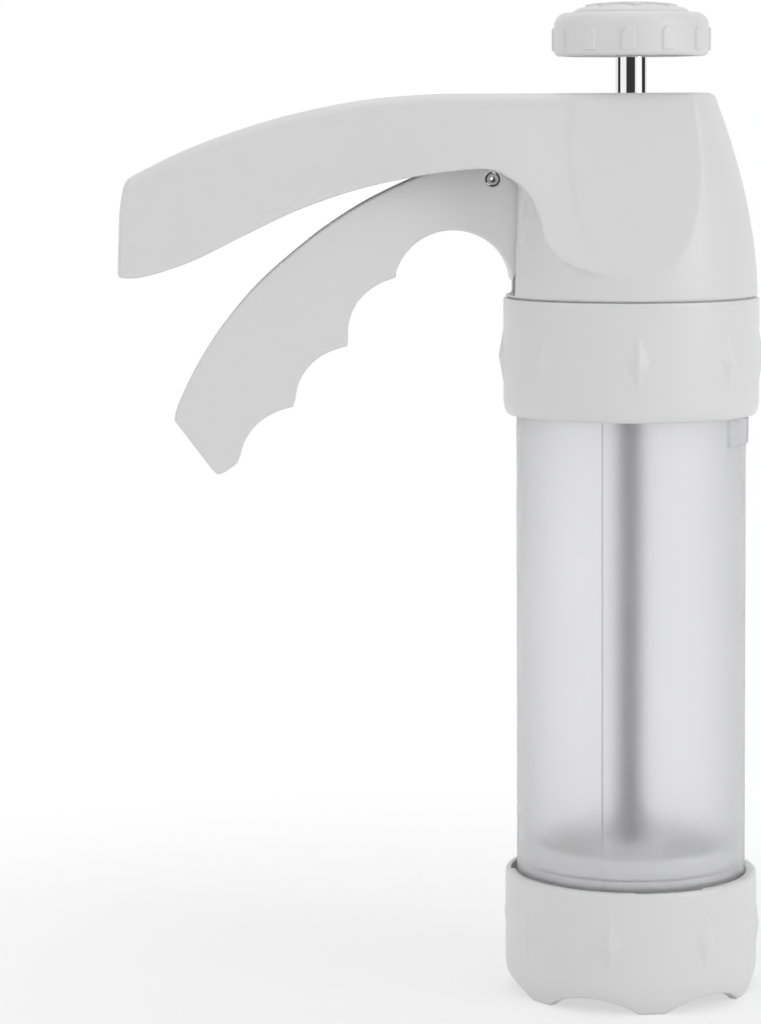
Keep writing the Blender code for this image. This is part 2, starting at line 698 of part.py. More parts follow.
def trigger_lines():
    """The trigger's outline in parts: its back, its tip, its finger side, its toe and its inner arm."""
    def placed(shares):
        return [(PIVOT_X + TRIGGER_REACH * x, PIVOT_Z + TRIGGER_DROP * z) for x, z in shares]

    back = smooth_through(placed(TRIGGER_BACK_SHARES), 2)
    tip = placed(TRIGGER_TIP_SHARES)[:-1]
    cusps = placed(TRIGGER_CUSP_SHARES)
    fingers = []
    for start, end, share in zip(cusps, cusps[1:], SCALLOP_SAG_SHARES):
        fingers += sagged(start, end, share, SCALLOP_STEPS)
    centre = placed([ARCH_CENTRE_SHARES])[0]
    toe = placed(TRIGGER_TOE_SHARES)
    start = math.atan2(cusps[-1][1] - centre[1], cusps[-1][0] - centre[0])
    end = math.atan2(toe[0][1] - centre[1], toe[0][0] - centre[0])
    arch = [cusps[-1]] + arc(centre[0], centre[1], ARCH_RADIUS, start, end, ARCH_STEPS)[1:-1]
    return back, tip, fingers + arch, toe, placed(TRIGGER_ARM_SHARES)


def make_trigger(press):
    """The squeezed lever: a moulded channel, open at the back, with two arms into the neck."""
    back, tip, fingers, toe, arm = trigger_lines()
    outline = [(x - PIVOT_X, z - PIVOT_Z) for x, z in back + tip + fingers + toe + arm]
    trigger = finish_mesh("trigger", extruded(outline, -TRIGGER_HALF, TRIGGER_HALF), white_plastic(), press)
    trigger.location = (PIVOT_X, 0.0, PIVOT_Z)
    rounding = trigger.modifiers.new("round_edges", "BEVEL")
    rounding.width = TRIGGER_EDGE
    rounding.segments = 2
    rounding.limit_method = "ANGLE"
    rounding.angle_limit = TRIGGER_EDGE_ANGLE
    lower = [point for point in inset(fingers, TRIGGER_WALL) if point[0] > back[-1][0] + 3 * TRIGGER_WALL]
    inner = toe[-1][0] - TRIGGER_WALL
    web_top = toe[-1][1] + WEB_THICKNESS
    web_end = arm[0][0] - TRIGGER_WALL
    below, above = toe[-1][1] - OVERRUN, arm[-2][1] + 2 * OVERRUN
    lower = [point for point in lower if point[0] < inner]
    reach = arm[0][0] + TRIGGER_REACH / 2
    outer = inset(back, -OVERRUN)
    room = lower + [(inner, lower[-1][1]), (inner, web_top), (web_end, web_top), (web_end, below),
                    (reach, below), (reach, above), (back[0][0], above)]
    room += outer[2:-3]
    half = TRIGGER_HALF - TRIGGER_WALL
    cut(trigger, "trigger_room", extruded(room, -half, half), press)
    pivot = rod_along_y(PIN_RADIUS + GAP, TRIGGER_HALF + OVERRUN, PIVOT_X, PIVOT_Z)
    hole = rod_along_y(SMALL_PIN_RADIUS + GAP, TRIGGER_HALF + OVERRUN, PAWL_X, PAWL_Z)
    cut(trigger, "trigger_holes", merged([pivot, hole]), press)
    return trigger


def make_trigger_pin(press):
    """The hollow steel pin that the trigger turns on."""
    half = TRIGGER_HALF
    pin = turned([(PIN_RADIUS, half), (PIN_RADIUS, -half), (PIN_BORE, -half), (PIN_BORE, half)], SMALL_STEPS)
    made = finish_mesh("trigger_pin", pin, steel(), press)
    made.location = (PIVOT_X, 0.0, PIVOT_Z)
    made.rotation_euler = (math.pi / 2, 0.0, 0.0)
    return made


def make_small_pin(name, z, press):
    """A plain steel pin through a pawl and the two walls beside it."""
    pin = extruded(circle(0.0, 0.0, SMALL_PIN_RADIUS), -TRIGGER_HALF, TRIGGER_HALF)
    made = finish_mesh(name, pin, steel(), press)
    made.location = (PAWL_X, 0.0, z)
    return made


def make_pawl(name, z, press):
    """A flat steel finger with an eye, whose wedge tip drops into the rod's teeth."""
    radius = PAWL_EYE_RADIUS
    reach, drop = PAWL_TIP_REACH, -PAWL_TIP_DROP
    eye = arc(0.0, 0.0, radius, 0.0, PAWL_EYE_ANGLE, 9)
    finger = [(reach - 3 * PAWL_STEM, drop + PAWL_STEM), (reach - PAWL_STEM, drop - PAWL_TIP_HEIGHT),
              (reach, drop - PAWL_TIP_HEIGHT / 2), (reach - PAWL_STEM / 2, drop + PAWL_STEM),
              (reach - PAWL_STEM, drop + 2 * PAWL_STEM)]
    made = finish_mesh(name, extruded(eye + finger, -PAWL_THICKNESS / 2, PAWL_THICKNESS / 2), steel(), press)
    made.location = (PAWL_X, 0.0, z)
    hole = rod_along_y(SMALL_PIN_RADIUS + GAP, PAWL_THICKNESS, PAWL_X, z)
    cut(made, name + "_hole", hole, press)
    return made


def tube_along(name, points, radius, finish, press):
    """A wire of round section along a run of points."""
    curve = bpy.data.curves.new(name, "CURVE")
    curve.dimensions = "3D"
    curve.bevel_depth = radius
    curve.bevel_resolution = 1
    curve.use_fill_caps = True
    line = curve.splines.new("POLY")
    line.points.add(len(points) - 1)
    for spot, point in zip(line.points, points):
        spot.co = (*point, 1.0)
    curve.materials.append(finish)
    made = bpy.data.objects.new(name, curve)
    bpy.context.collection.objects.link(made)
    made.parent = press
    return made


def coil(radius, pitch, curls, points=10):
    """Points of an even coil that climbs along Z from zero."""
    count = int(curls * points)
    return [(radius * math.cos(2 * math.pi * i / points), radius * math.sin(2 * math.pi * i / points),
             pitch * i / points) for i in range(count + 1)]


def make_pawl_spring(name, z, press):
    """A torsion spring on the pawl's pin, with one leg down the pawl's back."""
    wire = PAWL_SPRING_WIRE / 2
    start = PAWL_THICKNESS / 2 + GAP + wire
    turns = coil(PAWL_SPRING_RADIUS, PAWL_SPRING_PITCH, PAWL_SPRING_CURLS, 8)
    leg = [(turns[0][0], turns[0][1] - PAWL_SPRING_LEG, 0.0), (turns[0][0], turns[0][1] - wire * 3, 0.0)]
    last = turns[-1]
    tail = [(last[0], last[1] + wire * 3, last[2]), (last[0], last[1] + PAWL_SPRING_LEG, last[2])]
    wound = leg + turns + tail
    points = [(PAWL_X - x, start + along, z + y) for x, y, along in wound]
    print(name, "least gap to itself", round((PAWL_SPRING_PITCH - PAWL_SPRING_WIRE) * 1000, 2), "mm")
    return tube_along(name, points, wire, steel(), press)


def make_return_spring(press):
    """The compression spring that lifts the trigger's arm."""
    wire = RETURN_SPRING_WIRE / 2
    low = END_PLATE_TOP + GAP + wire
    high = PIVOT_Z + TRIGGER_DROP * TRIGGER_TOE_SHARES[-1][1] - GAP - wire
    pitch = (high - low) / RETURN_SPRING_CURLS
    turns = coil(RETURN_SPRING_RADIUS, pitch, RETURN_SPRING_CURLS)
    first, last = turns[0], turns[-1]
    wound = [(first[0], first[1] - 2 * wire, first[2])] + turns + [(last[0], last[1] + 2 * wire, last[2])]
    points = [(RETURN_SPRING_X + x, y, low + along) for x, y, along in wound]
    print("trigger_return_spring least gap to itself", round((pitch - 2 * wire) * 1000, 2), "mm")
    return tube_along("trigger_return_spring", points, wire, steel(), press)


def diamonds(radius, middle, proud, turn):
    """Raised diamonds round a ring, each a flat four-sided pyramid sunk into the wall."""
    share = (proud + DIAMOND_ROOT) / proud
    width, length = DIAMOND_WIDTH * share, DIAMOND_LENGTH * share
    shapes = []
    for angle in spread(DIAMOND_COUNT, turn - math.pi / 2):
        bm = bmesh.new()
        inner = radius - DIAMOND_ROOT
        corners = [(inner, width / 2, middle), (inner, 0.0, middle + length / 2),
                   (inner, -width / 2, middle), (inner, 0.0, middle - length / 2)]
        rim = [bm.verts.new(corner) for corner in corners]
        peak = bm.verts.new((radius + proud, 0.0, middle))
        bm.faces.new(rim)
        for i in range(4):
            bm.faces.new((rim[i], rim[i - 1], peak))
        bmesh.ops.rotate(bm, verts=bm.verts, cent=(0, 0, 0), matrix=turn_about_z(angle))
        shapes.append(bm)
    return merged(shapes)


def lip_notches(low, high, turn):
    """The entries in a collar's lip that let the barrel's lugs through."""
    inner, outer = BARREL_RADIUS - LUG_DEPTH, COLLAR_CHAMBER
    return merged([sector(inner, outer, low, high, angle, NOTCH_HALF_ANGLE)
                   for angle in spread(LUG_COUNT, turn)])


def make_upper_collar(press):
    """The ring below the seam, whose lip holds the barrel's upper lugs."""
    low, high = UPPER_COLLAR_BOTTOM, SEAM_HEIGHT - GAP
    lip = low + COLLAR_LIP_HEIGHT
    edge = COLLAR_EDGE
    profile = [(COLLAR_LIP_BORE, low), (COLLAR_LIP_BORE, lip), (COLLAR_CHAMBER, lip),
               (COLLAR_CHAMBER, high), (COLLAR_RADIUS, high), (COLLAR_RADIUS, low + 2 * edge),
               (COLLAR_RADIUS - edge / 3, low + edge / 2), (COLLAR_RADIUS - edge, low)]
    collar = finish_mesh("upper_collar", turned(profile[::-1]), white_plastic(), press)
    gems = diamonds(COLLAR_RADIUS, (low + high) / 2, UPPER_DIAMOND_PROUD, UPPER_DIAMOND_TURN)
    add(collar, "upper_diamonds", gems, press)
    cut(collar, "upper_notches", lip_notches(low - OVERRUN, lip + OVERRUN / 4, UNLOCK_ANGLE), press)
    return collar


def make_barrel(press):
    """The frosted tube, with three lugs at each end and a raised lock mark."""
    profile = [(BARREL_RADIUS, BARREL_TOP), (BARREL_RADIUS, BARREL_BOTTOM), (BARREL_BORE, BARREL_BOTTOM),
               (BARREL_BORE, BARREL_TOP)]
    frosted = material("frosted_plastic", FROSTED, FROSTED_ROUGHNESS)
    barrel = finish_mesh("barrel", turned(profile), frosted, press)
    root = BARREL_RADIUS - BARREL_WALL / 2
    outer = BARREL_RADIUS + LUG_DEPTH
    upper = UPPER_COLLAR_BOTTOM + COLLAR_LIP_HEIGHT + GAP
    lower = LOWER_COLLAR_HEIGHT - COLLAR_LIP_HEIGHT - GAP - LUG_HEIGHT
    lugs = [sector(root, outer, low, low + LUG_HEIGHT, angle, LUG_HALF_ANGLE)
            for low in (upper, lower) for angle in spread(LUG_COUNT)]
    top = UPPER_COLLAR_BOTTOM - MARK_DROP
    pad = sector(root, BARREL_RADIUS + MARK_PROUD, top - MARK_HEIGHT, top, MARK_TURN, MARK_HALF_ANGLE)
    add(barrel, "barrel_lugs", merged(lugs + [pad]), press)
    low, half = top - MARK_HEIGHT + TICK_WIDTH, TICK_WIDTH / 2
    outline = [(-TICK_HALF - half, low), (-TICK_HALF + half, low), (TICK_HALF + half, top - TICK_WIDTH),
               (TICK_HALF - half, top - TICK_WIDTH)]
    face = BARREL_RADIUS + MARK_PROUD
    tick = extruded(outline, face - TICK_DEPTH, face + OVERRUN, "X")
    bmesh.ops.rotate(tick, verts=tick.verts, cent=(0, 0, 0), matrix=turn_about_z(TICK_TURN))
    cut(barrel, "lock_tick", tick, press)
    return barrel


def make_lower_collar(press):
    """The ring that locks the disc under the barrel, on six feet with arches between them."""
    high = LOWER_COLLAR_HEIGHT
    lip = high - COLLAR_LIP_HEIGHT
    ledge = DISC_SEAT_HEIGHT - SEAT_LEDGE
    curl = LOWER_COLLAR_CURL_HEIGHT
    inward = LOWER_COLLAR_RADIUS - LOWER_COLLAR_FOOT_RADIUS
    profile = [(COLLAR_LIP_BORE, high), (COLLAR_LIP_BORE, lip), (COLLAR_CHAMBER, lip),
               (COLLAR_CHAMBER, LOWER_SHELF), (DISC_RADIUS + GAP, LOWER_SHELF),
               (DISC_RADIUS + GAP, DISC_SEAT_HEIGHT), (SEAT_BORE, DISC_SEAT_HEIGHT), (SEAT_BORE, ledge),
               (LOWER_COLLAR_FOOT_RADIUS - MOUTH_WALL, 0.0)]
    for i in range(5):
        share = i / 4
        profile.append((LOWER_COLLAR_FOOT_RADIUS + inward * math.sin(share * math.pi / 2), curl * share))
    profile += [(LOWER_COLLAR_RADIUS, high - COLLAR_EDGE / 2), (LOWER_COLLAR_RADIUS - COLLAR_EDGE / 2, high)]
    collar = finish_mesh("lower_collar", turned(profile), white_plastic(), press)
    gems = diamonds(LOWER_COLLAR_RADIUS, LOWER_DIAMOND_MIDDLE, LOWER_DIAMOND_PROUD, LOWER_DIAMOND_TURN)
    add(collar, "lower_diamonds", gems, press)
    shapes = [lip_notches(lip - OVERRUN / 4, high + OVERRUN, UNLOCK_ANGLE)]
    half = LOWER_COLLAR_FOOT_RADIUS * math.sin(FOOT_ARCH_HALF_ANGLE)
    radius = (half ** 2 + FOOT_ARCH_HEIGHT ** 2) / (2 * FOOT_ARCH_HEIGHT)
    centre = FOOT_ARCH_HEIGHT - radius
    start = math.asin((-OVERRUN / 4 - centre) / radius)
    for turn in spread(FOOT_COUNT, FOOT_TURN):
        arch = extruded(arc(0.0, centre, radius, start, math.pi - start, ARCH_STEPS),
                        SEAT_BORE - MOUTH_WALL, BARREL_RADIUS * 2)
        bmesh.ops.rotate(arch, verts=arch.verts, cent=(0, 0, 0), matrix=turn_about_z(turn))
        shapes.append(arch)
    cut(collar, "lower_cutters", merged(shapes), press)
    return collar


def petal(turn):
    """One pointed petal opening in the disc."""
    points = []
    for side in (1, -1):
        for i in range(5):
            t = i / 5 if side > 0 else 1 - i / 5
            along = PETAL_INNER_RADIUS + PETAL_LENGTH * t
            out = side * PETAL_WIDTH / 2 * math.sin(math.pi * t) ** PETAL_POINT_SHARE
            points.append((along * math.cos(turn) - out * math.sin(turn),
                           along * math.sin(turn) + out * math.cos(turn)))
    return extruded(points, DISC_SEAT_HEIGHT - OVERRUN / 2, LOWER_SHELF + OVERRUN / 2, "Z")


def make_disc(press):
    """The cookie disc, a thin plate with a flower of petal openings."""
    low, high = DISC_SEAT_HEIGHT + GAP, LOWER_SHELF
    profile = [(0.0, high), (DISC_RADIUS, high), (DISC_RADIUS, low), (0.0, low)]
    disc = finish_mesh("cookie_disc", turned(profile), white_plastic(), press)
    cut(disc, "petals", merged([petal(turn) for turn in spread(PETAL_COUNT, math.pi / 2)]), press)
    return disc


def make_piston(press):
    """The cupped piston: a web, a grooved skirt, a hub and six ribs."""
    low, high = PISTON_BOTTOM, PISTON_TOP
    web = low + PISTON_WEB
    groove = low + SEAL_HEIGHT
    section = SEAL_SECTION + 2 * GAP
    inner = PISTON_RADIUS - PISTON_SKIRT_WALL
    neck = PISTON_RADIUS - SEAL_SECTION / 2
    ceiling = low + SCREW_HEAD_HEIGHT + WASHER_THICKNESS + 3 * GAP
    pocket = WASHER_RADIUS + GAP
    profile = [(ROD_STUB_HOLE, high), (PISTON_HUB_RADIUS, high), (PISTON_HUB_RADIUS, web), (inner, web),
               (inner, high), (PISTON_RADIUS, high), (PISTON_RADIUS, groove + section),
               (neck, groove + section), (neck, groove), (PISTON_RADIUS, groove), (PISTON_RADIUS, low),
               (pocket, low), (pocket, ceiling), (ROD_STUB_HOLE, ceiling)]
    piston = finish_mesh("piston", turned(profile), white_plastic(), press)
    ribs = []
    for turn in spread(PISTON_RIB_COUNT):
        rib = extruded(rectangle(PISTON_HUB_RADIUS - GAP, -PISTON_RIB_WIDTH / 2, inner + GAP,
                                 PISTON_RIB_WIDTH / 2), web - GAP, high - PISTON_WEB, "Z")
        bmesh.ops.rotate(rib, verts=rib.verts, cent=(0, 0, 0), matrix=turn_about_z(turn))
        ribs.append(rib)
    add(piston, "piston_ribs", merged(ribs), press)
    return piston


def make_piston_seal(press):
    """The soft ring in the piston's groove, which wipes the barrel's bore."""
    low = PISTON_BOTTOM + SEAL_HEIGHT + GAP
    high = low + SEAL_SECTION
    inner = PISTON_RADIUS - SEAL_SECTION / 2 + GAP
    outer = BARREL_BORE - GAP
    third = SEAL_SECTION / 3
    profile = [(inner, high), (outer - third / 2, high), (outer, high - third), (outer, low + third),
               (outer - third / 2, low), (inner, low)]
    silicone = material("silicone", SILICONE, SILICONE_ROUGHNESS)
    return finish_mesh("piston_seal", turned(profile), silicone, press)


def rod_section(height, radius, milled):
    """A round section of the rod, cut flat away from the pawls where it is milled."""
    flat = ROD_RADIUS - TOOTH_DEPTH if milled else ROD_RADIUS
    return [(min(x, flat), y, height) for x, y in circle(0.0, 0.0, radius, ROD_STEPS)]


def make_rod(press):
    """The bright rod: rings of saw teeth, a smooth face that frees the pawls, and a stub at each end."""
    root = ROD_RADIUS - TOOTH_DEPTH
    shoulder = FIRST_SHOULDER - TOOTH_PITCH * (TOOTH_COUNT - TEETH_ABOVE_PAWL)
    end = shoulder + TOOTH_PITCH * TOOTH_COUNT
    stub_low = PISTON_BOTTOM + SCREW_HEAD_HEIGHT + WASHER_THICKNESS + 3 * GAP
    stub_high = ROD_TOP + STUB_LENGTH + KNOB_WALL
    stub = ROD_STUB_RADIUS
    foot = ((stub_low, stub), (ROD_BOTTOM, stub), (ROD_BOTTOM, ROD_RADIUS), (shoulder, ROD_RADIUS))
    head = ((end, ROD_RADIUS), (ROD_TOP, ROD_RADIUS), (ROD_TOP, stub), (stub_high, stub))
    sections = [rod_section(height, radius, False) for height, radius in foot]
    for i in range(TOOTH_COUNT):
        low = shoulder + TOOTH_PITCH * i
        sections += [rod_section(low, root, True), rod_section(low + TOOTH_PITCH, ROD_RADIUS, True)]
    sections += [rod_section(height, radius, False) for height, radius in head]
    rod = finish_mesh("ratchet_rod", lofted(sections), steel(), press)
    low = stub_low - OVERRUN / 2
    bore = circle(0.0, 0.0, FIXING_SHANK_RADIUS + GAP)
    cut(rod, "rod_bore", extruded(bore, low, stub_low + FIXING_SHANK_LENGTH + GAP, "Z"), press)
    return rod


def make_piston_washer(press):
    """The washer under the piston's hub."""
    low = PISTON_BOTTOM + SCREW_HEAD_HEIGHT + 2 * GAP
    high = low + WASHER_THICKNESS
    bore = FIXING_SHANK_RADIUS + GAP
    profile = [(WASHER_RADIUS, high), (WASHER_RADIUS, low), (bore, low), (bore, high)]
    return finish_mesh("piston_washer", turned(profile, SMALL_STEPS * 2), steel(), press)


def make_piston_screw(press):
    """The screw that holds washer and piston to the rod's end, with a slotted head."""
    low = PISTON_BOTTOM + GAP
    high = low + SCREW_HEAD_HEIGHT
    tip = high + WASHER_THICKNESS + FIXING_SHANK_LENGTH
    profile = [(0.0, tip), (FIXING_SHANK_RADIUS, tip), (FIXING_SHANK_RADIUS, high), (SCREW_HEAD_RADIUS, high),
               (SCREW_HEAD_RADIUS, low), (0.0, low)]
    screw = finish_mesh("piston_screw", turned(profile, SMALL_STEPS), steel(), press)
    reach = SCREW_HEAD_RADIUS * 2
    slot = rectangle(-reach, low - OVERRUN, reach, low + SCREW_HEAD_HEIGHT / 2)
    cut(screw, "piston_screw_slot", extruded(slot, -WASHER_THICKNESS / 2, WASHER_THICKNESS / 2), press)
    return screw


def make_knob(press):
    """The hand knob: a flanged cup with twelve tabs, a boss for the rod and a dish for the cap."""
    low, rim = KNOB_BOTTOM, KNOB_BOTTOM + KNOB_RIM_HEIGHT
    web_high = rim - KNOB_CAP_WALL - KNOB_NUT_HEIGHT
    web_low = web_high - KNOB_WALL
    side = KNOB_RADIUS
    shoulder = KNOB_SHOULDER
    rim_radius = KNOB_DISH_RADIUS + (side - KNOB_DISH_RADIUS) * KNOB_RIM_SHARE
    inner = side - KNOB_WALL
    bore = ROD_RADIUS + GAP
    profile = [(ROD_STUB_HOLE, web_high), (KNOB_DISH_RADIUS, web_high), (KNOB_DISH_RADIUS, rim),
               (rim_radius, rim)]
    for i in range(1, 5):
        turn = math.pi / 2 * i / 4
        out = (side - rim_radius) * math.sin(turn)
        profile.append((rim_radius + out, rim - shoulder * (1 - math.cos(turn))))
    profile += [(side, low + COLLAR_EDGE), (side - COLLAR_EDGE, low), (inner, low),
                (inner, web_low), (KNOB_BOSS_RADIUS, web_low), (KNOB_BOSS_RADIUS, low + GAP),
                (bore, low + GAP), (bore, web_low), (ROD_STUB_HOLE, web_low)]
    knob = finish_mesh("knob", turned(profile), white_plastic(), press)
    tabs = []
    for turn in spread(TAB_COUNT, TAB_TURN - math.pi / 2):
        start = low + TAB_START
        outline = [(side - KNOB_WALL / 2, start), (side + TAB_PROUD, start),
                   (side + TAB_PROUD, start + TAB_HEIGHT - TAB_PROUD), (side, start + TAB_HEIGHT),
                   (side - KNOB_WALL / 2, start + TAB_HEIGHT)]
        tab = extruded(outline, -TAB_WIDTH / 2, TAB_WIDTH / 2)
        bmesh.ops.rotate(tab, verts=tab.verts, cent=(0, 0, 0), matrix=turn_about_z(turn))
        tabs.append(tab)
    add(knob, "knob_tabs", merged(tabs), press)
    return knob


def star_edge(turn):
    """The cap star's radius at an angle, straight from each tip to the valleys beside it."""
    step = math.pi / STAR_POINTS
    off = abs((turn + step) % (2 * step) - step)
    tip, valley = KNOB_CAP_RADIUS * STAR_TIP_SHARE, KNOB_CAP_RADIUS * STAR_VALLEY_SHARE
    along, across = valley * math.cos(step) - tip, valley * math.sin(step)
    return tip * across / (across * math.cos(off) - along * math.sin(off))


def dome(reach, r):
    """A dome's height above its rim at a radius, for a dome that reaches so far out."""
    return KNOB_CAP_RISE * math.sqrt(max(0.0, 1.0 - (r / reach) ** 2))


def make_knob_cap(press):
    """The low domed cap in the knob's dish, with a raised star."""
    rim = KNOB_BOTTOM + KNOB_RIM_HEIGHT
    low = rim - KNOB_CAP_WALL - KNOB_NUT_HEIGHT + GAP
    radius = KNOB_CAP_RADIUS
    skirt = radius - KNOB_CAP_WALL
    columns = []
    for turn in spread(CAP_STEPS):
        edge = star_edge(turn)
        column = [(0.0, rim + KNOB_CAP_RISE + STAR_PROUD)]
        column += [(r, rim + dome(radius, r) + STAR_PROUD) for r in (edge / 2, edge)]
        middle = (edge + STAR_SIDE + radius) / 2
        column += [(r, rim + dome(radius, r)) for r in (edge + STAR_SIDE, middle, radius)]
        column += [(radius, low), (skirt, low)]
        inner = (skirt, skirt * STAR_TIP_SHARE, skirt / 2, 0.0)
        column += [(r, rim + dome(skirt, r) - KNOB_CAP_WALL) for r in inner]
        columns.append(column)
    return finish_mesh("knob_cap", ring(columns), white_plastic(), press)


def make_knob_nut(press):
    """The hexagon nut on the rod's upper stub."""
    low = KNOB_BOTTOM + KNOB_RIM_HEIGHT - KNOB_CAP_WALL - KNOB_NUT_HEIGHT + GAP
    nut = extruded(circle(0.0, 0.0, KNOB_NUT_RADIUS, 6), low, low + KNOB_NUT_HEIGHT - GAP, "Z")
    made = finish_mesh("knob_nut", nut, steel(), press)
    hole = extruded(circle(0.0, 0.0, ROD_STUB_HOLE), low - OVERRUN, low + OVERRUN * 2, "Z")
    cut(made, "knob_nut_hole", hole, press)
    return made


def make_bush(name, low, press):
    """A plain bearing ring round the rod, with a flange at its lower end."""
    high = low + BUSH_HEIGHT - GAP
    flange = BUSH_RADIUS + BUSH_FLANGE
    flange_low = low - BUSH_FLANGE_HEIGHT
    profile = [(BUSH_BORE, high), (BUSH_RADIUS, high), (BUSH_RADIUS, low), (flange, low),
               (flange, flange_low), (BUSH_BORE, flange_low)]
    return finish_mesh(name, turned(profile, SMALL_STEPS * 2), natural_plastic(), press)


def make_end_plate(press):
    """The plate that closes the barrel's top, with a bush seat, screw holes and two pawl ears."""
    low, high = END_PLATE_BOTTOM, END_PLATE_TOP
    hole = BUSH_RADIUS + GAP
    profile = [(END_PLATE_RADIUS, high), (END_PLATE_RADIUS, low), (hole, low), (hole, high)]
    plate = finish_mesh("end_plate", turned(profile[::-1]), natural_plastic(), press)
    ear_top = HOLDING_Z + PAWL_EYE_RADIUS
    ear = rectangle(PAWL_X - EAR_HALF_LENGTH, low + GAP, PAWL_X + EAR_HALF_LENGTH, ear_top)
    inner = TRIGGER_HALF - TRIGGER_WALL
    ears = []
    for near, far in ((inner, TRIGGER_HALF), (-TRIGGER_HALF, -inner)):
        ears.append(extruded(ear, near, far))
    add(plate, "plate_ears", merged(ears), press)
    holes = [extruded(circle(FIXING_CIRCLE * math.cos(turn), FIXING_CIRCLE * math.sin(turn),
                             FIXING_SHANK_RADIUS + GAP), low - OVERRUN, high + OVERRUN, "Z")
             for turn in spread(FIXING_COUNT)]
    holes.append(rod_along_y(SMALL_PIN_RADIUS + GAP, TRIGGER_HALF + OVERRUN, PAWL_X, HOLDING_Z))
    cut(plate, "plate_holes", merged(holes), press)
    return plate


def make_plate_screws(press):
    """The three screws that hold the end plate to the housing's bosses."""
    low = END_PLATE_BOTTOM - GAP
    for i, turn in enumerate(spread(FIXING_COUNT)):
        tip, base = low + FIXING_SHANK_LENGTH, low - FIXING_HEAD_HEIGHT
        profile = [(0.0, tip), (FIXING_SHANK_RADIUS, tip), (FIXING_SHANK_RADIUS, low),
                   (FIXING_HEAD_RADIUS, low), (FIXING_HEAD_RADIUS * FIXING_HEAD_SHARE, base), (0.0, base)]
        screw = finish_mesh(f"end_plate_screw_{i + 1}", turned(profile, SMALL_STEPS), steel(), press)
        screw.location = (FIXING_CIRCLE * math.cos(turn), FIXING_CIRCLE * math.sin(turn), 0.0)


def clear_scene():
    """Start from an empty file."""
    for item in list(bpy.data.objects):
        bpy.data.objects.remove(item, do_unlink=True)


def main():
    """Build the press, body by body."""
    clear_scene()
    press = bpy.data.objects.new("press", None)
    bpy.context.collection.objects.link(press)
    press.location = (BARREL_AXIS_X, 0.0, 0.0)
    make_housing(press)
    make_upper_collar(press)
    make_end_plate(press)
    make_plate_screws(press)
    make_bush("upper_rod_bush", BUSH_LOW - GAP, press)
    make_bush("lower_rod_bush", END_PLATE_BOTTOM - GAP, press)
    make_trigger_pin(press)
    make_small_pin("holding_pawl_pin", HOLDING_Z, press)
    make_pawl_spring("holding_pawl_spring", HOLDING_Z, press)
    make_return_spring(press)
    make_trigger(press)
    make_small_pin("drive_pawl_pin", PAWL_Z, press)
    make_pawl_spring("drive_pawl_spring", PAWL_Z, press)
    make_pawl("drive_pawl", PAWL_Z, press)
    make_pawl("holding_pawl", HOLDING_Z, press)
    make_piston(press)
    make_piston_seal(press)
    make_rod(press)
    make_piston_washer(press)
    make_piston_screw(press)
    make_knob(press)
    make_knob_cap(press)
    make_knob_nut(press)
    make_barrel(press)
    make_lower_collar(press)
    make_disc(press)


main()
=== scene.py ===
"""Looks of a hand cookie press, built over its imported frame.

The white mouldings, the frosted barrel and the bright rod are rebuilt here with the fine edges,
reliefs and skins that the plain solids leave out. Metres, +Z up, the handle towards -X.
"""

import logging
import math
from collections.abc import Callable, Sequence
from dataclasses import dataclass
from enum import Enum

import bmesh
import bpy
from mathutils import Matrix, Vector

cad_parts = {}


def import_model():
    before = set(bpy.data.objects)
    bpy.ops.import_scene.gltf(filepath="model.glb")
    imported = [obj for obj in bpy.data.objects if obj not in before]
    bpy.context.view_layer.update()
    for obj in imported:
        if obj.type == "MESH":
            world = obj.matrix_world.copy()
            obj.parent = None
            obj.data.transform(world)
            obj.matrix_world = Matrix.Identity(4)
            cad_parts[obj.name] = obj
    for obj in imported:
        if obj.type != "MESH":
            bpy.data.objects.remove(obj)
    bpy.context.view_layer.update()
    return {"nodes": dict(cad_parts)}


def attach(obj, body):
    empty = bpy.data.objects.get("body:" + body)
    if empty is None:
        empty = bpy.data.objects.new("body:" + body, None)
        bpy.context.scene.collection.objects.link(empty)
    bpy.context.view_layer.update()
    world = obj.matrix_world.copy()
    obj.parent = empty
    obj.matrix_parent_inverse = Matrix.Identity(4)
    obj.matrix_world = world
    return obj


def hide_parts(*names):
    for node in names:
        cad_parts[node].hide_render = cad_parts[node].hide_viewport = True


LOG = logging.getLogger("cookie_press")

Point = tuple[float, float]
Spot = tuple[float, float, float]
Colour = tuple[float, float, float]
Shape = bmesh.types.BMesh
Piece = bpy.types.Object
Socket = bpy.types.NodeSocket

AXIS_X = 0.0457
GAP = 0.0003
OVERRUN = 0.004
PIVOT_X = -0.0334
PIVOT_Z = 0.1959
PIN_HOLE = 0.00175
LUG_COUNT = 3
NOTCH_TURN = math.radians(45)
NOTCH_HALF = 0.285
NOTCH_END = 0.310
NOISE_LOW = 0.3
NOISE_HIGH = 0.7


class Step(Enum):
    """How one closed shape changes another."""

    JOIN = "UNION"
    CUT = "DIFFERENCE"


class Body(Enum):
    """The moving bodies of the press that scene pieces ride on."""

    HOUSING = "housing"
    TRIGGER = "trigger"
    ROD = "rod"
    BARREL = "barrel"
    LOWER_COLLAR = "lower_collar"


def arc(x: float, y: float, radius: float, start: float, end: float, steps: int) -> list[Point]:
    """Points along an arc.

    Args:
        x: Centre, first coordinate.
        y: Centre, second coordinate.
        radius: Radius of the arc.
        start: First angle in radians.
        end: Last angle in radians.
        steps: Number of steps between the two.

    Returns:
        The points, both ends counted.
    """
    turns = [start + (end - start) * i / steps for i in range(steps + 1)]
    return [(x + radius * math.cos(turn), y + radius * math.sin(turn)) for turn in turns]


def circle(x: float, y: float, radius: float, steps: int = 48) -> list[Point]:
    """Points round a whole circle."""
    return arc(x, y, radius, 0.0, 2 * math.pi, steps)[:-1]


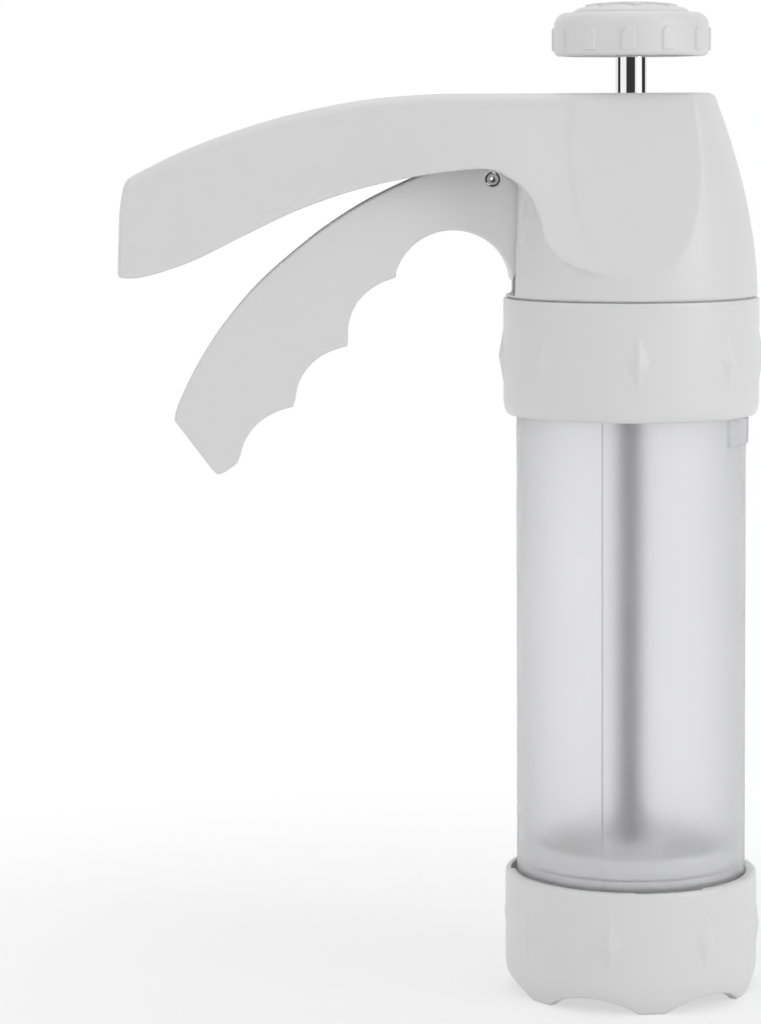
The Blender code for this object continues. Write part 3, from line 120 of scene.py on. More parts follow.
def rectangle(low: Point, high: Point) -> list[Point]:
    """The four corners between a low and a high corner."""
    return [low, (high[0], low[1]), high, (low[0], high[1])]


def spread(count: int, turn: float = 0.0) -> list[float]:
    """Even angles round a circle, from a first turn in radians."""
    return [turn + 2 * math.pi * i / count for i in range(count)]


def ease(low: float, high: float, value: float) -> float:
    """A smooth step from 0 at low to 1 at high."""
    share = min(1.0, max(0.0, (value - low) / (high - low)))
    return share * share * (3 - 2 * share)


def off_middle(turn: float, count: int) -> float:
    """The angle from the nearest of a count of even places round the circle."""
    step = 2 * math.pi / count
    return (turn + step / 2) % step - step / 2


def lip_radius(turn: float, narrow: float, wide: float) -> float:
    """A bayonet lip's inner radius at an angle, widened where the barrel's lugs pass."""
    off = abs(off_middle(turn - NOTCH_TURN, LUG_COUNT))
    return narrow + (wide - narrow) * (1 - ease(NOTCH_HALF, NOTCH_END, off))


def smooth_line(points: Sequence[Point], steps: int) -> list[Point]:
    """A smooth curve through the points.

    Args:
        points: The points that the curve passes.
        steps: Steps between each two of them.

    Returns:
        The finer line.
    """
    ends = [points[0], *points, points[-1]]
    line: list[Point] = []
    for before, start, end, after in zip(ends, ends[1:], ends[2:], ends[3:]):
        for i in range(steps):
            t = i / steps
            pair = [
                0.5 * (2 * b + (c - a) * t + (2 * a - 5 * b + 4 * c - d) * t**2
                       + (3 * b - a - 3 * c + d) * t**3)
                for a, b, c, d in zip(before, start, end, after)
            ]
            line.append((pair[0], pair[1]))
    return [*line, points[-1]]


def sagged(start: Point, end: Point, share: float, steps: int) -> list[Point]:
    """A bow from start towards end, to the left of the way by a share of its length."""
    way = (end[0] - start[0], end[1] - start[1])
    line = []
    for i in range(steps):
        t = i / steps
        bow = share * 4 * t * (1 - t)
        line.append((start[0] + way[0] * t - way[1] * bow, start[1] + way[1] * t + way[0] * bow))
    return line


def inset(points: Sequence[Point], distance: float) -> list[Point]:
    """Move an open line to its left by a distance."""
    moved = []
    for i, point in enumerate(points):
        before = Vector(points[max(i - 1, 0)])
        after = Vector(points[min(i + 1, len(points) - 1)])
        way = (after - before).normalized()
        moved.append((point[0] - way.y * distance, point[1] + way.x * distance))
    return moved


def lofted(sections: Sequence[Sequence[Spot]]) -> Shape:
    """Bridge equal closed sections in turn and cap both ends."""
    bm = bmesh.new()
    rings = [[bm.verts.new(point) for point in section] for section in sections]
    for first, second in zip(rings, rings[1:]):
        for i in range(len(first)):
            bm.faces.new((first[i - 1], first[i], second[i], second[i - 1]))
    bm.faces.new(rings[0])
    bm.faces.new(list(reversed(rings[-1])))
    bmesh.ops.remove_doubles(bm, verts=bm.verts, dist=GAP / 1000)
    return bm


def extruded(outline: Sequence[Point], near: float, far: float, upright: bool = False) -> Shape:
    """Extrude a closed outline.

    Args:
        outline: The outline, as (x, z), or as (x, y) where it stands upright.
        near: Start along Y, or along Z where it stands upright.
        far: End along the same line.
        upright: Whether the extrusion runs along Z.

    Returns:
        The closed shape.
    """
    place: Callable[[Point, float], Spot] = (
        (lambda p, h: (p[0], p[1], h)) if upright else (lambda p, h: (p[0], h, p[1]))
    )
    return lofted([[place(point, near) for point in outline], [place(point, far) for point in outline]])


def turned(profile: Sequence[Point], steps: int = 96) -> Shape:
    """Turn a closed (radius, height) profile about the barrel's line."""
    return ring([list(profile)] * steps)


def ring(columns: Sequence[Sequence[Point]]) -> Shape:
    """Join closed (radius, height) profiles, one for each even angle, into a ring."""
    bm = bmesh.new()
    turns = spread(len(columns))
    rows = [[bm.verts.new((r * math.cos(turn), r * math.sin(turn), z)) for r, z in column]
            for turn, column in zip(turns, columns)]
    for i, row in enumerate(rows):
        for j in range(len(row)):
            bm.faces.new((rows[i - 1][j - 1], row[j - 1], row[j], rows[i - 1][j]))
    bmesh.ops.remove_doubles(bm, verts=bm.verts, dist=GAP / 1000)
    return bm


def rod_across(radius: float, half: float, x: float, z: float) -> Shape:
    """A cylinder along Y, centred on the press's middle plane."""
    return extruded(circle(x, z, radius, 32), -half, half)


def merged(shapes: Sequence[Shape]) -> Shape:
    """Put loose shapes that don't touch into one."""
    whole = bmesh.new()
    for shape in shapes:
        mesh = bpy.data.meshes.new("loose")
        shape.to_mesh(mesh)
        shape.free()
        whole.from_mesh(mesh)
        bpy.data.meshes.remove(mesh)
    return whole


def rotated(bm: Shape, turn: float) -> Shape:
    """Turn a shape about the barrel's line."""
    bmesh.ops.rotate(bm, verts=bm.verts, cent=(0, 0, 0), matrix=Matrix.Rotation(turn, 3, "Z"))
    return bm


def made_object(name: str, bm: Shape) -> Piece:
    """Link a shape as an object, its faces turned out."""
    bmesh.ops.recalc_face_normals(bm, faces=bm.faces)
    mesh = bpy.data.meshes.new(name)
    bm.to_mesh(mesh)
    bm.free()
    made = bpy.data.objects.new(name, mesh)
    bpy.context.collection.objects.link(made)
    return made


def baked(made: Piece) -> None:
    """Keep what an object's modifiers give as its own mesh."""
    graph = bpy.context.evaluated_depsgraph_get()
    mesh = bpy.data.meshes.new_from_object(made.evaluated_get(graph))
    made.modifiers.clear()
    old = made.data
    made.data = mesh
    bpy.data.meshes.remove(old)


def changed(made: Piece, tool: Shape, step: Step) -> None:
    """Join a shape to an object or cut it out, at once."""
    other = made_object("tool", tool)
    change = made.modifiers.new("change", "BOOLEAN")
    change.operation = step.value
    change.object = other
    change.solver = "EXACT"
    baked(made)
    bpy.data.objects.remove(other, do_unlink=True)


def softened(made: Piece, voxel: float, rounds: int) -> None:
    """Give a moulding the soft edges and blends of a real one.

    Args:
        made: The moulding.
        voxel: Size of the new mesh's faces.
        rounds: How often the new mesh is smoothed.
    """
    remesh = made.modifiers.new("even", "REMESH")
    remesh.mode = "VOXEL"
    remesh.voxel_size = voxel
    remesh.adaptivity = 0.0
    smooth = made.modifiers.new("soft", "SMOOTH")
    smooth.factor = 0.5
    smooth.iterations = rounds
    baked(made)


def settled(made: Piece, finishes: "Sequence[Finish]", body: Body, node: str,
            sharp: float = 180.0) -> Piece:
    """Finish and shade a piece, set it in the frame and say what it rides on and replaces.

    Args:
        made: The piece, built about the barrel's line.
        finishes: Its finishes, in the order of its material slots.
        body: The body it rides on.
        node: The node that it stands for.
        sharp: Angle in degrees above which an edge stays sharp.

    Returns:
        The same piece.
    """
    for finish in finishes:
        made.data.materials.append(finish.material())
    made.data.transform(Matrix.Translation((AXIS_X, 0.0, 0.0)))
    made.data.shade_smooth()
    if sharp < 180.0:
        made.data.set_sharp_from_angle(angle=math.radians(sharp))
    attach(made, body.value)
    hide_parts(node)
    return made


class NodeNet:
    """Adds nodes to one node tree and links them."""

    def __init__(self, tree: bpy.types.NodeTree) -> None:
        """Take the tree to work in."""
        self.tree = tree

    def fill(self, node: bpy.types.Node, inputs: dict[str | int, object]) -> bpy.types.Node:
        """Set or link a node's inputs.

        Args:
            node: The node.
            inputs: Values, or sockets to link, by the input's name or number.

        Returns:
            The same node.
        """
        for place, value in inputs.items():
            if isinstance(value, Socket):
                self.tree.links.new(value, node.inputs[place])
            else:
                node.inputs[place].default_value = value
        return node

    def add(self, kind: str, inputs: dict[str | int, object], operation: str = "") -> bpy.types.Node:
        """Add a node.

        Args:
            kind: The node's type.
            inputs: Values, or sockets to link, by the input's name or number.
            operation: What the node works out, where it has a choice.

        Returns:
            The new node.
        """
        node = self.tree.nodes.new(kind)
        if operation:
            node.operation = operation
        return self.fill(node, inputs)


class NodeMaterial(NodeNet):
    """A Principled material and the few node groups that the finishes share."""

    def __init__(self, name: str) -> None:
        """Start a node material with one shader."""
        self.made = bpy.data.materials.new(name)
        self.made.use_nodes = True
        super().__init__(self.made.node_tree)
        self.shader = self.tree.nodes["Principled BSDF"]
        self.place = self.add("ShaderNodeTexCoord", {}).outputs["Object"]

    def noise(self, scale: float, detail: float, stretch: Spot = (1.0, 1.0, 1.0)) -> Socket:
        """Noise in the object's own metres.

        Args:
            scale: Features in a metre.
            detail: Octaves of the noise.
            stretch: How much each direction counts.

        Returns:
            The noise's value.
        """
        mapping = self.add("ShaderNodeMapping", {"Scale": stretch, "Vector": self.place})
        values = {"Scale": scale, "Detail": detail, "Vector": mapping.outputs["Vector"]}
        return self.add("ShaderNodeTexNoise", values).outputs["Fac"]

    def surface(self, colour: Colour, shade: float, cloud: Socket, gloss: Socket, roughness: Point,
                grain: Socket, depth: float, strength: float) -> None:
        """Give the shader its colour, roughness and skin, each from a noise.

        Args:
            colour: The brighter colour.
            shade: The darker colour as a share of the brighter one.
            cloud: Noise between the two colours.
            gloss: Noise of the roughness.
            roughness: Least and most roughness.
            grain: Noise of the skin.
            depth: Height of the skin in metres.
            strength: How much the skin counts.
        """
        ramp = self.add("ShaderNodeValToRGB", {"Fac": cloud})
        low = [part * shade for part in colour]
        for stop, place, level in zip(ramp.color_ramp.elements, (NOISE_LOW, NOISE_HIGH), (low, colour)):
            stop.position = place
            stop.color = (*level, 1.0)
        spread_gloss = self.add("ShaderNodeMapRange", {
            "Value": gloss, "From Min": NOISE_LOW, "From Max": NOISE_HIGH,
            "To Min": roughness[0], "To Max": roughness[1]})
        bump = self.add("ShaderNodeBump", {"Height": grain, "Distance": depth, "Strength": strength})
        self.fill(self.shader, {"Base Color": ramp.outputs["Color"],
                                "Roughness": spread_gloss.outputs["Result"],
                                "Normal": bump.outputs["Normal"]})


@dataclass(frozen=True)
class Finish:
    """A material that is built once and then shared."""

    name: str
    colour: Colour

    def dress(self, nodes: NodeMaterial) -> None:
        """Set the shader up, each kind of finish in its own way."""
        raise NotImplementedError

    def material(self) -> bpy.types.Material:
        """Build the material, or give the one already built."""
        if self.name not in bpy.data.materials:
            self.dress(NodeMaterial(self.name))
        return bpy.data.materials[self.name]


@dataclass(frozen=True)
class MouldedPlastic(Finish):
    """Opaque moulded plastic with a fine skin."""

    roughness: float = 0.36
    mottle: float = 0.02
    skin: float = 0.00002

    def dress(self, nodes: NodeMaterial) -> None:
        """Let a little light under the skin, with cloudy colour and gloss."""
        nodes.fill(nodes.shader, {"IOR": 1.46, "Subsurface Weight": 0.08, "Subsurface Scale": 1.0,
                                  "Subsurface Radius": (0.0012, 0.0011, 0.0010)})
        nodes.surface(self.colour, 1 - self.mottle, nodes.noise(55.0, 3.0), nodes.noise(140.0, 4.0),
                      (self.roughness - 0.05, self.roughness + 0.06), nodes.noise(2600.0, 2.0),
                      self.skin, 0.35)


@dataclass(frozen=True)
class FrostedPlastic(Finish):
    """See-through plastic with a blasted surface."""

    roughness: float = 0.38
    clear: float = 0.90
    grain: float = 0.00001

    def dress(self, nodes: NodeMaterial) -> None:
        """Let light through a rough surface."""
        nodes.fill(nodes.shader, {"IOR": 1.36, "Transmission Weight": self.clear})
        nodes.surface(self.colour, 0.975, nodes.noise(30.0, 2.0), nodes.noise(900.0, 3.0),
                      (self.roughness - 0.04, self.roughness + 0.05), nodes.noise(3200.0, 2.0),
                      self.grain, 0.5)


@dataclass(frozen=True)
class BrightSteel(Finish):
    """Drawn or polished steel with faint lines along it."""

    roughness: float = 0.12
    lines: float = 0.04
    grain: float = 0.000004

    def dress(self, nodes: NodeMaterial) -> None:
        """Draw one noise out along the steel and use it for everything."""
        nodes.fill(nodes.shader, {"Metallic": 1.0})
        drawn = nodes.noise(1500.0, 2.0, stretch=(1.0, 1.0, 0.02))
        nodes.surface(self.colour, 0.93, drawn, drawn, (self.roughness, self.roughness + self.lines), drawn,
                      self.grain, 0.3)


WHITE = MouldedPlastic("white_moulding", (0.80, 0.80, 0.80), roughness=0.40, mottle=0.006, skin=0.000006)
# Paler copy of the white moulding for piston and cookie disc: painted light for the dim inside of barrel and
# collar.
INNER_WHITE_PAINTED_LIGHT = MouldedPlastic("white_inner_moulding", (0.88, 0.88, 0.88), roughness=0.42)
NATURAL = MouldedPlastic("natural_bearing_plastic", (0.68, 0.68, 0.65), roughness=0.45, mottle=0.04)
SILICONE = MouldedPlastic("seal_silicone", (0.85, 0.85, 0.85), roughness=0.55, mottle=0.04, skin=0.00003)
FROSTED = FrostedPlastic("frosted_barrel", (0.97, 0.97, 0.98))
STEEL = BrightSteel("bright_steel", (0.66, 0.66, 0.67))
POLISHED_STEEL = BrightSteel("polished_steel", (0.93, 0.93, 0.93), roughness=0.03, lines=0.02,
                             grain=0.0000004)
# Near-black steel for the rod's toothed part: painted shade for its recesses and for its shadow through the
# frosted barrel.
TOOTHED_STEEL_PAINTED_SHADE = BrightSteel("toothed_steel", (0.15, 0.15, 0.152), roughness=0.30)
SPRING_STEEL = BrightSteel("spring_steel", (0.50, 0.50, 0.51), roughness=0.22)


@dataclass(frozen=True)
class HousingMoulding:
    """The white body: neck, flat cheeks and handle."""

    seam: float = 0.1677
    height: float = 0.0484
    wall: float = 0.0023
    neck_radius: float = 0.0302
    neck_top_radius: float = 0.0196
    neck_taper: float = 1.8
    neck_edge: float = 0.0024
    cheek_top_half: float = 0.0143
    cheek_slope: float = 0.3595
    reach: float = 0.1220
    fall: float = 0.0430
    handle_half: float = 0.0124
    handle_draft: float = 0.08
    handle_edge: float = 0.0034
    blend_start: float = -0.075
    blend_end: float = -0.024
    spigot_low: float = 0.1617
    spigot_radius: float = 0.0286
    spigot_wall: float = 0.0024
    slot_half: float = 0.0102
    slot_wall: float = 0.0024
    slot_gap: float = 0.0006
    lip_heights: tuple[Point, ...] = ((0.0303, 0.0), (0.0294, 0.0300))
    lip_front: float = -0.0100
    boss_radius: float = 0.0042
    boss_half: float = 0.0064
    rib_back: float = -0.0151
    rib_front: float = -0.0128
    rib_low: float = 0.2033
    rib_near: float = 0.0071
    rib_far: float = 0.0095
    bush_boss: float = 0.00855
    bush_boss_low: float = 0.2089
    bush_seat: float = 0.00655
    bush_seat_low: float = 0.2049
    bush_seat_high: float = 0.2149
    rod_hole: float = 0.00435
    rod_hole_low: float = 0.2130
    screw_circle: float = 0.0222
    screw_boss: float = 0.0031
    screw_boss_low: float = 0.1620
    screw_boss_high: float = 0.1740
    web_half: float = 0.0012
    web_reach: float = 0.0274
    pilot: float = 0.0015
    pilot_low: float = 0.1574
    pilot_high: float = 0.1694
    voxel: float = 0.00050
    smoothing: int = 5
    top_shares: tuple[Point, ...] = (
        (0.996, 0.570), (0.985, 0.474), (0.953, 0.416), (0.872, 0.305), (0.769, 0.196),
        (0.656, 0.104), (0.526, 0.033), (0.400, 0.003), (0.311, 0.0), (0.262, 0.0),
        (0.225, 0.0), (0.185, 0.0), (0.148, 0.0), (0.115, 0.0), (0.074, 0.0), (0.025, 0.0), (-0.033, 0.0),
    )
    bottom_shares: tuple[Point, ...] = (
        (1.000, 0.985), (0.992, 1.000), (0.946, 0.993), (0.857, 0.912), (0.754, 0.770),
        (0.652, 0.635), (0.537, 0.523), (0.420, 0.450), (0.341, 0.419), (0.283, 0.412),
        (0.250, 0.452), (0.222, 0.508), (0.201, 0.585), (0.188, 0.695), (0.175, 0.820),
        (0.136, 0.925), (0.060, 0.985),
    )
    handle_points: int = 10

    @property
    def top(self) -> float:
        """Height of the flat top."""
        return self.seam + self.height

    def radius_at(self, z: float) -> float:
        """The neck's radius at a height."""
        share = max(0.0, z - self.seam) / self.height
        return self.neck_radius - (self.neck_radius - self.neck_top_radius) * share**self.neck_taper

    def cheek_half(self, z: float) -> float:
        """Half the width between the flat cheeks at a height."""
        return self.cheek_top_half + self.cheek_slope * (self.top - z)

    def side_half(self, x: float, z: float) -> float:
        """Half the width of handle or cheek at a place in the side view."""
        slim = self.handle_half + self.handle_draft * (self.top - z)
        return slim + ease(self.blend_start, self.blend_end, x) * (self.cheek_half(z) - slim)

    def neck_section(self, radius: float, half: float, z: float) -> list[Spot]:
        """A circle with two flats at a height."""
        turn = math.asin(min(1.0, half / radius))
        points: list[Point] = []
        for middle in (0.0, math.pi):
            points += arc(0.0, 0.0, radius, middle - turn, middle + turn, 64)
            start = points[-1]
            points += [(start[0] * (1 - 2 * i / 8), start[1]) for i in range(1, 8)]
        return [(x, y, z) for x, y in points]

    def neck(self, shrink: float, foot_radius: float) -> Shape:
        """The tapered neck, or its hollow where it is shrunk by a wall."""
        top = self.top - shrink
        foot = self.spigot_low - (OVERRUN if shrink else 0.0)
        step = self.seam + (self.spigot_wall if shrink else 0.0)
        sections = [self.neck_section(foot_radius, self.cheek_half(z), z) for z in (foot, step)]
        tall = top - self.neck_edge - step
        for i in range(41):
            z = step + tall * i / 40
            sections.append(self.neck_section(self.radius_at(z) - shrink, self.cheek_half(z) - shrink, z))
        rim = self.radius_at(top - self.neck_edge) - shrink
        for i in range(1, 7):
            turn = math.pi / 12 * i
            inward = self.neck_edge * (1 - math.cos(turn))
            z = top - self.neck_edge * (1 - math.sin(turn))
            sections.append(self.neck_section(rim - inward, self.cheek_half(z) - shrink - inward, z))
        return lofted(sections)

    def side_lines(self) -> tuple[list[Point], list[Point]]:
        """The upper and lower edge of handle and cheek in the side view, tip to root."""
        upper = smooth_line([(-self.reach * x, self.top - self.fall * z) for x, z in self.top_shares], 5)
        lower = smooth_line([(-self.reach * x, self.top - self.fall * z) for x, z in self.bottom_shares], 5)
        return upper, lower

    def handle_section(self, top: Point, bottom: Point, shrink: float, edge: float) -> list[Spot]:
        """A section between an upper and a lower point, with round upper corners."""
        high, low = Vector(top), Vector(bottom)
        up = (high - low).normalized()
        high = high - up * shrink
        wide = self.side_half(high.x, high.y) - shrink
        foot = self.side_half(low.x, low.y) - shrink
        section = [(low.x, -foot, low.y)]
        for side in (-1, 1):
            for i in range(7):
                turn = math.pi / 12 * (i if side < 0 else 6 - i)
                down = high - up * edge * (1 - math.sin(turn))
                section.append((down.x, side * (wide - edge + edge * math.cos(turn)), down.y))
        section.append((low.x, foot, low.y))
        return section

    def handle(self) -> Shape:
        """The solid handle and cheek block, its tip rounded."""
        upper, lower = self.side_lines()
        sections = []
        for i, (top, bottom) in enumerate(zip(upper, lower)):
            tip = 0.0022 * (1 - ease(0.0, 6.0, i)) + GAP / 10
            sections.append(self.handle_section(top, bottom, tip, self.handle_edge))
        return lofted(sections)

    def handle_room(self) -> Shape:
        """The channel inside the handle, open below, and the room between the cheeks."""
        upper, lower = self.side_lines()
        root = (self.handle_points - 1) * 5
        inside = inset(lower, self.wall)
        sections = []
        for i, (top, bottom) in enumerate(zip(upper, lower)):
            if top[0] < 2 * self.wall - self.reach:
                continue
            place = (bottom[0], bottom[1] - OVERRUN) if i <= root else inside[i]
            sections.append(self.handle_section(top, place, self.wall + GAP / 5, self.handle_edge / 2))
        return lofted(sections)

    def slot_frame(self) -> Shape:
        """The thicker lips beside the trigger's slot."""
        half = self.slot_half + self.slot_wall
        sections = []
        for radius, rise in self.lip_heights:
            turn = math.asin(half / radius)
            points = arc(0.0, 0.0, radius, math.pi - turn, math.pi + turn, 32)
            points += [(self.lip_front, -half), (self.lip_front, half)]
            sections.append([(x, y, self.seam + rise) for x, y in points])
        return lofted(sections)

    def bosses(self) -> Shape:
        """The pivot boss, the trigger's stops, the bush boss and the screw bosses."""
        root = self.top - self.wall / 2
        r = self.boss_radius
        pivot = [(PIVOT_X + r, root), (PIVOT_X - r, root),
                 *arc(PIVOT_X, PIVOT_Z, r, math.pi, 2 * math.pi, 16)]
        rib = rectangle((self.rib_back, self.rib_low), (self.rib_front, root))
        shapes = [extruded(pivot, -self.boss_half, self.boss_half),
                  extruded(rib, self.rib_near, self.rib_far), extruded(rib, -self.rib_far, -self.rib_near),
                  extruded(circle(0.0, 0.0, self.bush_boss), self.bush_boss_low, root, upright=True)]
        start = math.asin(self.web_half / self.screw_boss)
        for turn in spread(LUG_COUNT):
            outline = arc(self.screw_circle, 0.0, self.screw_boss, start, 2 * math.pi - start, 24)
            outline += [(self.web_reach, -self.web_half), (self.web_reach, self.web_half)]
            boss = extruded(outline, self.screw_boss_low, self.screw_boss_high, upright=True)
            shapes.append(rotated(boss, turn))
        return merged(shapes)

    def holes(self) -> Shape:
        """The rod's stepped bore, the trigger pin's hole and the screws' pilot holes."""
        bore = circle(0.0, 0.0, self.rod_hole)
        shapes = [extruded(bore, self.rod_hole_low, self.top + OVERRUN, upright=True),
                  rod_across(PIN_HOLE, self.rib_far, PIVOT_X, PIVOT_Z)]
        reach = self.screw_circle
        for turn in spread(LUG_COUNT):
            pilot = circle(reach * math.cos(turn), reach * math.sin(turn), self.pilot, 24)
            shapes.append(extruded(pilot, self.pilot_low, self.pilot_high, upright=True))
        return merged(shapes)

    def build(self) -> Piece:
        """Build, soften and place the moulding."""
        made = made_object("press_body", self.neck(0.0, self.spigot_radius))
        changed(made, self.handle(), Step.JOIN)
        changed(made, self.slot_frame(), Step.JOIN)
        changed(made, self.neck(self.wall, self.spigot_radius - self.spigot_wall), Step.CUT)
        changed(made, self.handle_room(), Step.CUT)
        slot = rectangle((-self.reach / 2, self.seam + self.slot_gap),
                         (self.rib_front, PIVOT_Z + self.boss_radius))
        changed(made, extruded(slot, -self.slot_half, self.slot_half), Step.CUT)
        changed(made, self.bosses(), Step.JOIN)
        changed(made, self.holes(), Step.CUT)
        seat = circle(0.0, 0.0, self.bush_seat)
        changed(made, extruded(seat, self.bush_seat_low, self.bush_seat_high, upright=True), Step.CUT)
        softened(made, self.voxel, self.smoothing)
        return settled(made, (WHITE,), Body.HOUSING, "housing")


@dataclass(frozen=True)
class TriggerMoulding:
    """The squeezed lever with its finger scallops, its arch and its inner arms."""

    pawl_x: float = -0.0105
    pawl_z: float = 0.1998
    pawl_hole: float = 0.00155
    drill_half: float = 0.0140
    edge_angle: float = math.radians(65)
    voxel: float = 0.00038
    smoothing: int = 3
    half: float = 0.0095
    wall: float = 0.0024
    edge: float = 0.0013
    reach: float = 0.0758
    drop: float = 0.0700
    arch_radius: float = 0.0141
    inset_share: float = 0.97
    back_shares: tuple[Point, ...] = (
        (-0.135, 0.050), (-0.256, 0.000), (-0.389, -0.069), (-0.492, -0.137), (-0.580, -0.206),
        (-0.726, -0.341), (-0.839, -0.479), (-0.921, -0.614), (-0.984, -0.751), (-1.000, -0.813),
    )
    tip_shares: tuple[Point, ...] = ((-0.880, -0.985), (-0.864, -1.000), (-0.840, -0.990))
    cusp_shares: tuple[Point, ...] = ((-0.802, -0.960), (-0.625, -0.769), (-0.455, -0.564), (-0.301, -0.331))
    sag_shares: tuple[float, ...] = (0.17, 0.19, 0.205)
    arch_shares: Point = (-0.125, -0.374)
    toe_shares: tuple[Point, ...] = ((0.058, -0.352), (0.088, -0.300), (0.098, -0.105))
    arm_shares: tuple[Point, ...] = (
        (0.250, -0.105), (0.262, -0.050), (0.335, -0.015), (0.345, 0.015), (0.345, 0.095),
        (0.320, 0.101), (0.240, 0.101), (0.150, 0.075), (0.0, 0.074),
    )

    def placed(self, shares: Sequence[Point]) -> list[Point]:
        """Shares of reach and drop as places in the side view."""
        return [(PIVOT_X + self.reach * x, PIVOT_Z + self.drop * z) for x, z in shares]

    def outline(self) -> tuple[list[Point], list[Point], list[Point], list[Point], list[Point]]:
        """The outline in parts: back, tip, finger side, toe and arm."""
        back = smooth_line(self.placed(self.back_shares), 6)
        cusps = self.placed(self.cusp_shares)
        fingers: list[Point] = []
        for start, end, share in zip(cusps, cusps[1:], self.sag_shares):
            fingers += sagged(start, end, share, 14)
        centre = self.placed([self.arch_shares])[0]
        toe = self.placed(self.toe_shares)
        start = math.atan2(cusps[-1][1] - centre[1], cusps[-1][0] - centre[0])
        end = math.atan2(toe[0][1] - centre[1], toe[0][0] - centre[0])
        fingers += [cusps[-1], *arc(centre[0], centre[1], self.arch_radius, start, end, 36)[1:-1]]
        return back, self.placed(self.tip_shares), fingers, toe, self.placed(self.arm_shares)

    def room(self) -> Shape:
        """The channel inside the lever, open at its back, and the gap between the arms."""
        back, _, fingers, toe, arm = self.outline()
        inner = toe[-1][0] - self.wall
        lower = [p for p in inset(fingers, self.wall) if back[-1][0] + 3 * self.wall < p[0] < inner
                 and all(math.dist(p, q) > self.wall * self.inset_share for q in fingers)]
        web_top = toe[-1][1] + self.wall
        web_end = arm[0][0] - self.wall
        below, above = toe[-1][1] - OVERRUN, arm[-2][1] + 2 * OVERRUN
        reach = arm[0][0] + self.reach / 2
        line = [*lower, (inner, lower[-1][1]), (inner, web_top), (web_end, web_top), (web_end, below),
                (reach, below), (reach, above), (back[0][0], above), *inset(back, -OVERRUN)[6:-9]]
        half = self.half - self.wall
        return extruded(line, -half, half)

    def build(self) -> Piece:
        """Build, soften and place the lever."""
        back, tip, fingers, toe, arm = self.outline()
        line = [*back, *tip, *fingers, *toe, *arm]
        made = made_object("squeeze_lever", extruded(line, -self.half, self.half))
        rounding = made.modifiers.new("round", "BEVEL")
        rounding.width = self.edge
        rounding.segments = 4
        rounding.limit_method = "ANGLE"
        rounding.angle_limit = self.edge_angle
        baked(made)
        changed(made, self.room(), Step.CUT)
        changed(made, rod_across(PIN_HOLE, self.drill_half, PIVOT_X, PIVOT_Z), Step.CUT)
        changed(made, rod_across(self.pawl_hole, self.drill_half, self.pawl_x, self.pawl_z), Step.CUT)
        softened(made, self.voxel, self.smoothing)
        return settled(made, (WHITE,), Body.TRIGGER, "trigger")


@dataclass(frozen=True)
class TriggerPin:
    """The hollow steel pin that the trigger turns on."""

    radius: float = 0.00145
    bore: float = 0.0006
    half: float = 0.0095
    rounding: float = 0.00025

    def build(self) -> Piece:
        """Build and place the pin."""
        r, b, h, e = self.radius, self.bore, self.half, self.rounding
        profile = [(b, h - e), (b + e, h), (r - e, h), (r, h - e), (r, e - h), (r - e, -h), (b + e, -h),
                   (b, e - h)]
        made = made_object("hollow_pin", turned(profile, 48))
        across = Matrix.Rotation(math.pi / 2, 4, "X")
        made.data.transform(Matrix.Translation((PIVOT_X, 0.0, PIVOT_Z)) @ across)
        return settled(made, (STEEL,), Body.HOUSING, "trigger_pin", 35.0)


@dataclass(frozen=True)
class Diamonds:
    """Raised diamonds round a collar."""

    middle: float
    proud: float
    turn: float
    count: int = 8
    width: float = 0.0056
    length: float = 0.0138

    def height(self, radius: float, turn: float, z: float) -> float:
        """How far the relief stands out at an angle and a height."""
        off = off_middle(turn - self.turn + math.pi / 2, self.count)
        across = abs(off) * radius / (self.width / 2)
        along = abs(z - self.middle) / (self.length / 2)
        return self.proud * max(0.0, 1.0 - across - along)


@dataclass(frozen=True)
class UpperCollar:
    """The white ring between neck and barrel."""

    radius: float = 0.0306
    low: float = 0.1395
    high: float = 0.1674
    lip: float = 0.0030
    lip_bore: float = 0.0278
    chamber: float = 0.0289
    steps: int = 540
    diamonds: Diamonds = Diamonds(0.15345, 0.0012, math.radians(-1))

    def column(self, turn: float) -> list[Point]:
        """The profile at an angle."""
        bore = lip_radius(turn, self.lip_bore, self.chamber)
        points = [(bore, self.low + 0.0002), (bore, self.low + self.lip),
                  (self.chamber, self.low + self.lip), (self.chamber, self.high)]
        points += [(self.radius - 0.0004, self.high), (self.radius - 0.0001, self.high - 0.0001)]
        rows = 52
        top, foot = self.high - 0.0004, self.low + 0.0030
        for i in range(rows + 1):
            z = top + (foot - top) * i / rows
            points.append((self.radius + self.diamonds.height(self.radius, turn, z), z))
        points += [(self.radius - 0.0001, self.low + 0.0023), (self.radius - 0.0003, self.low + 0.0014),
                   (self.radius - 0.0006, self.low + 0.0006), (self.radius - 0.0010, self.low + 0.0001),
                   (self.radius - 0.0014, self.low)]
        return points

    def build(self) -> Piece:
        """Build and place the collar."""
        made = made_object("neck_collar", ring([self.column(turn) for turn in spread(self.steps)]))
        return settled(made, (WHITE,), Body.HOUSING, "upper_collar", 40.0)


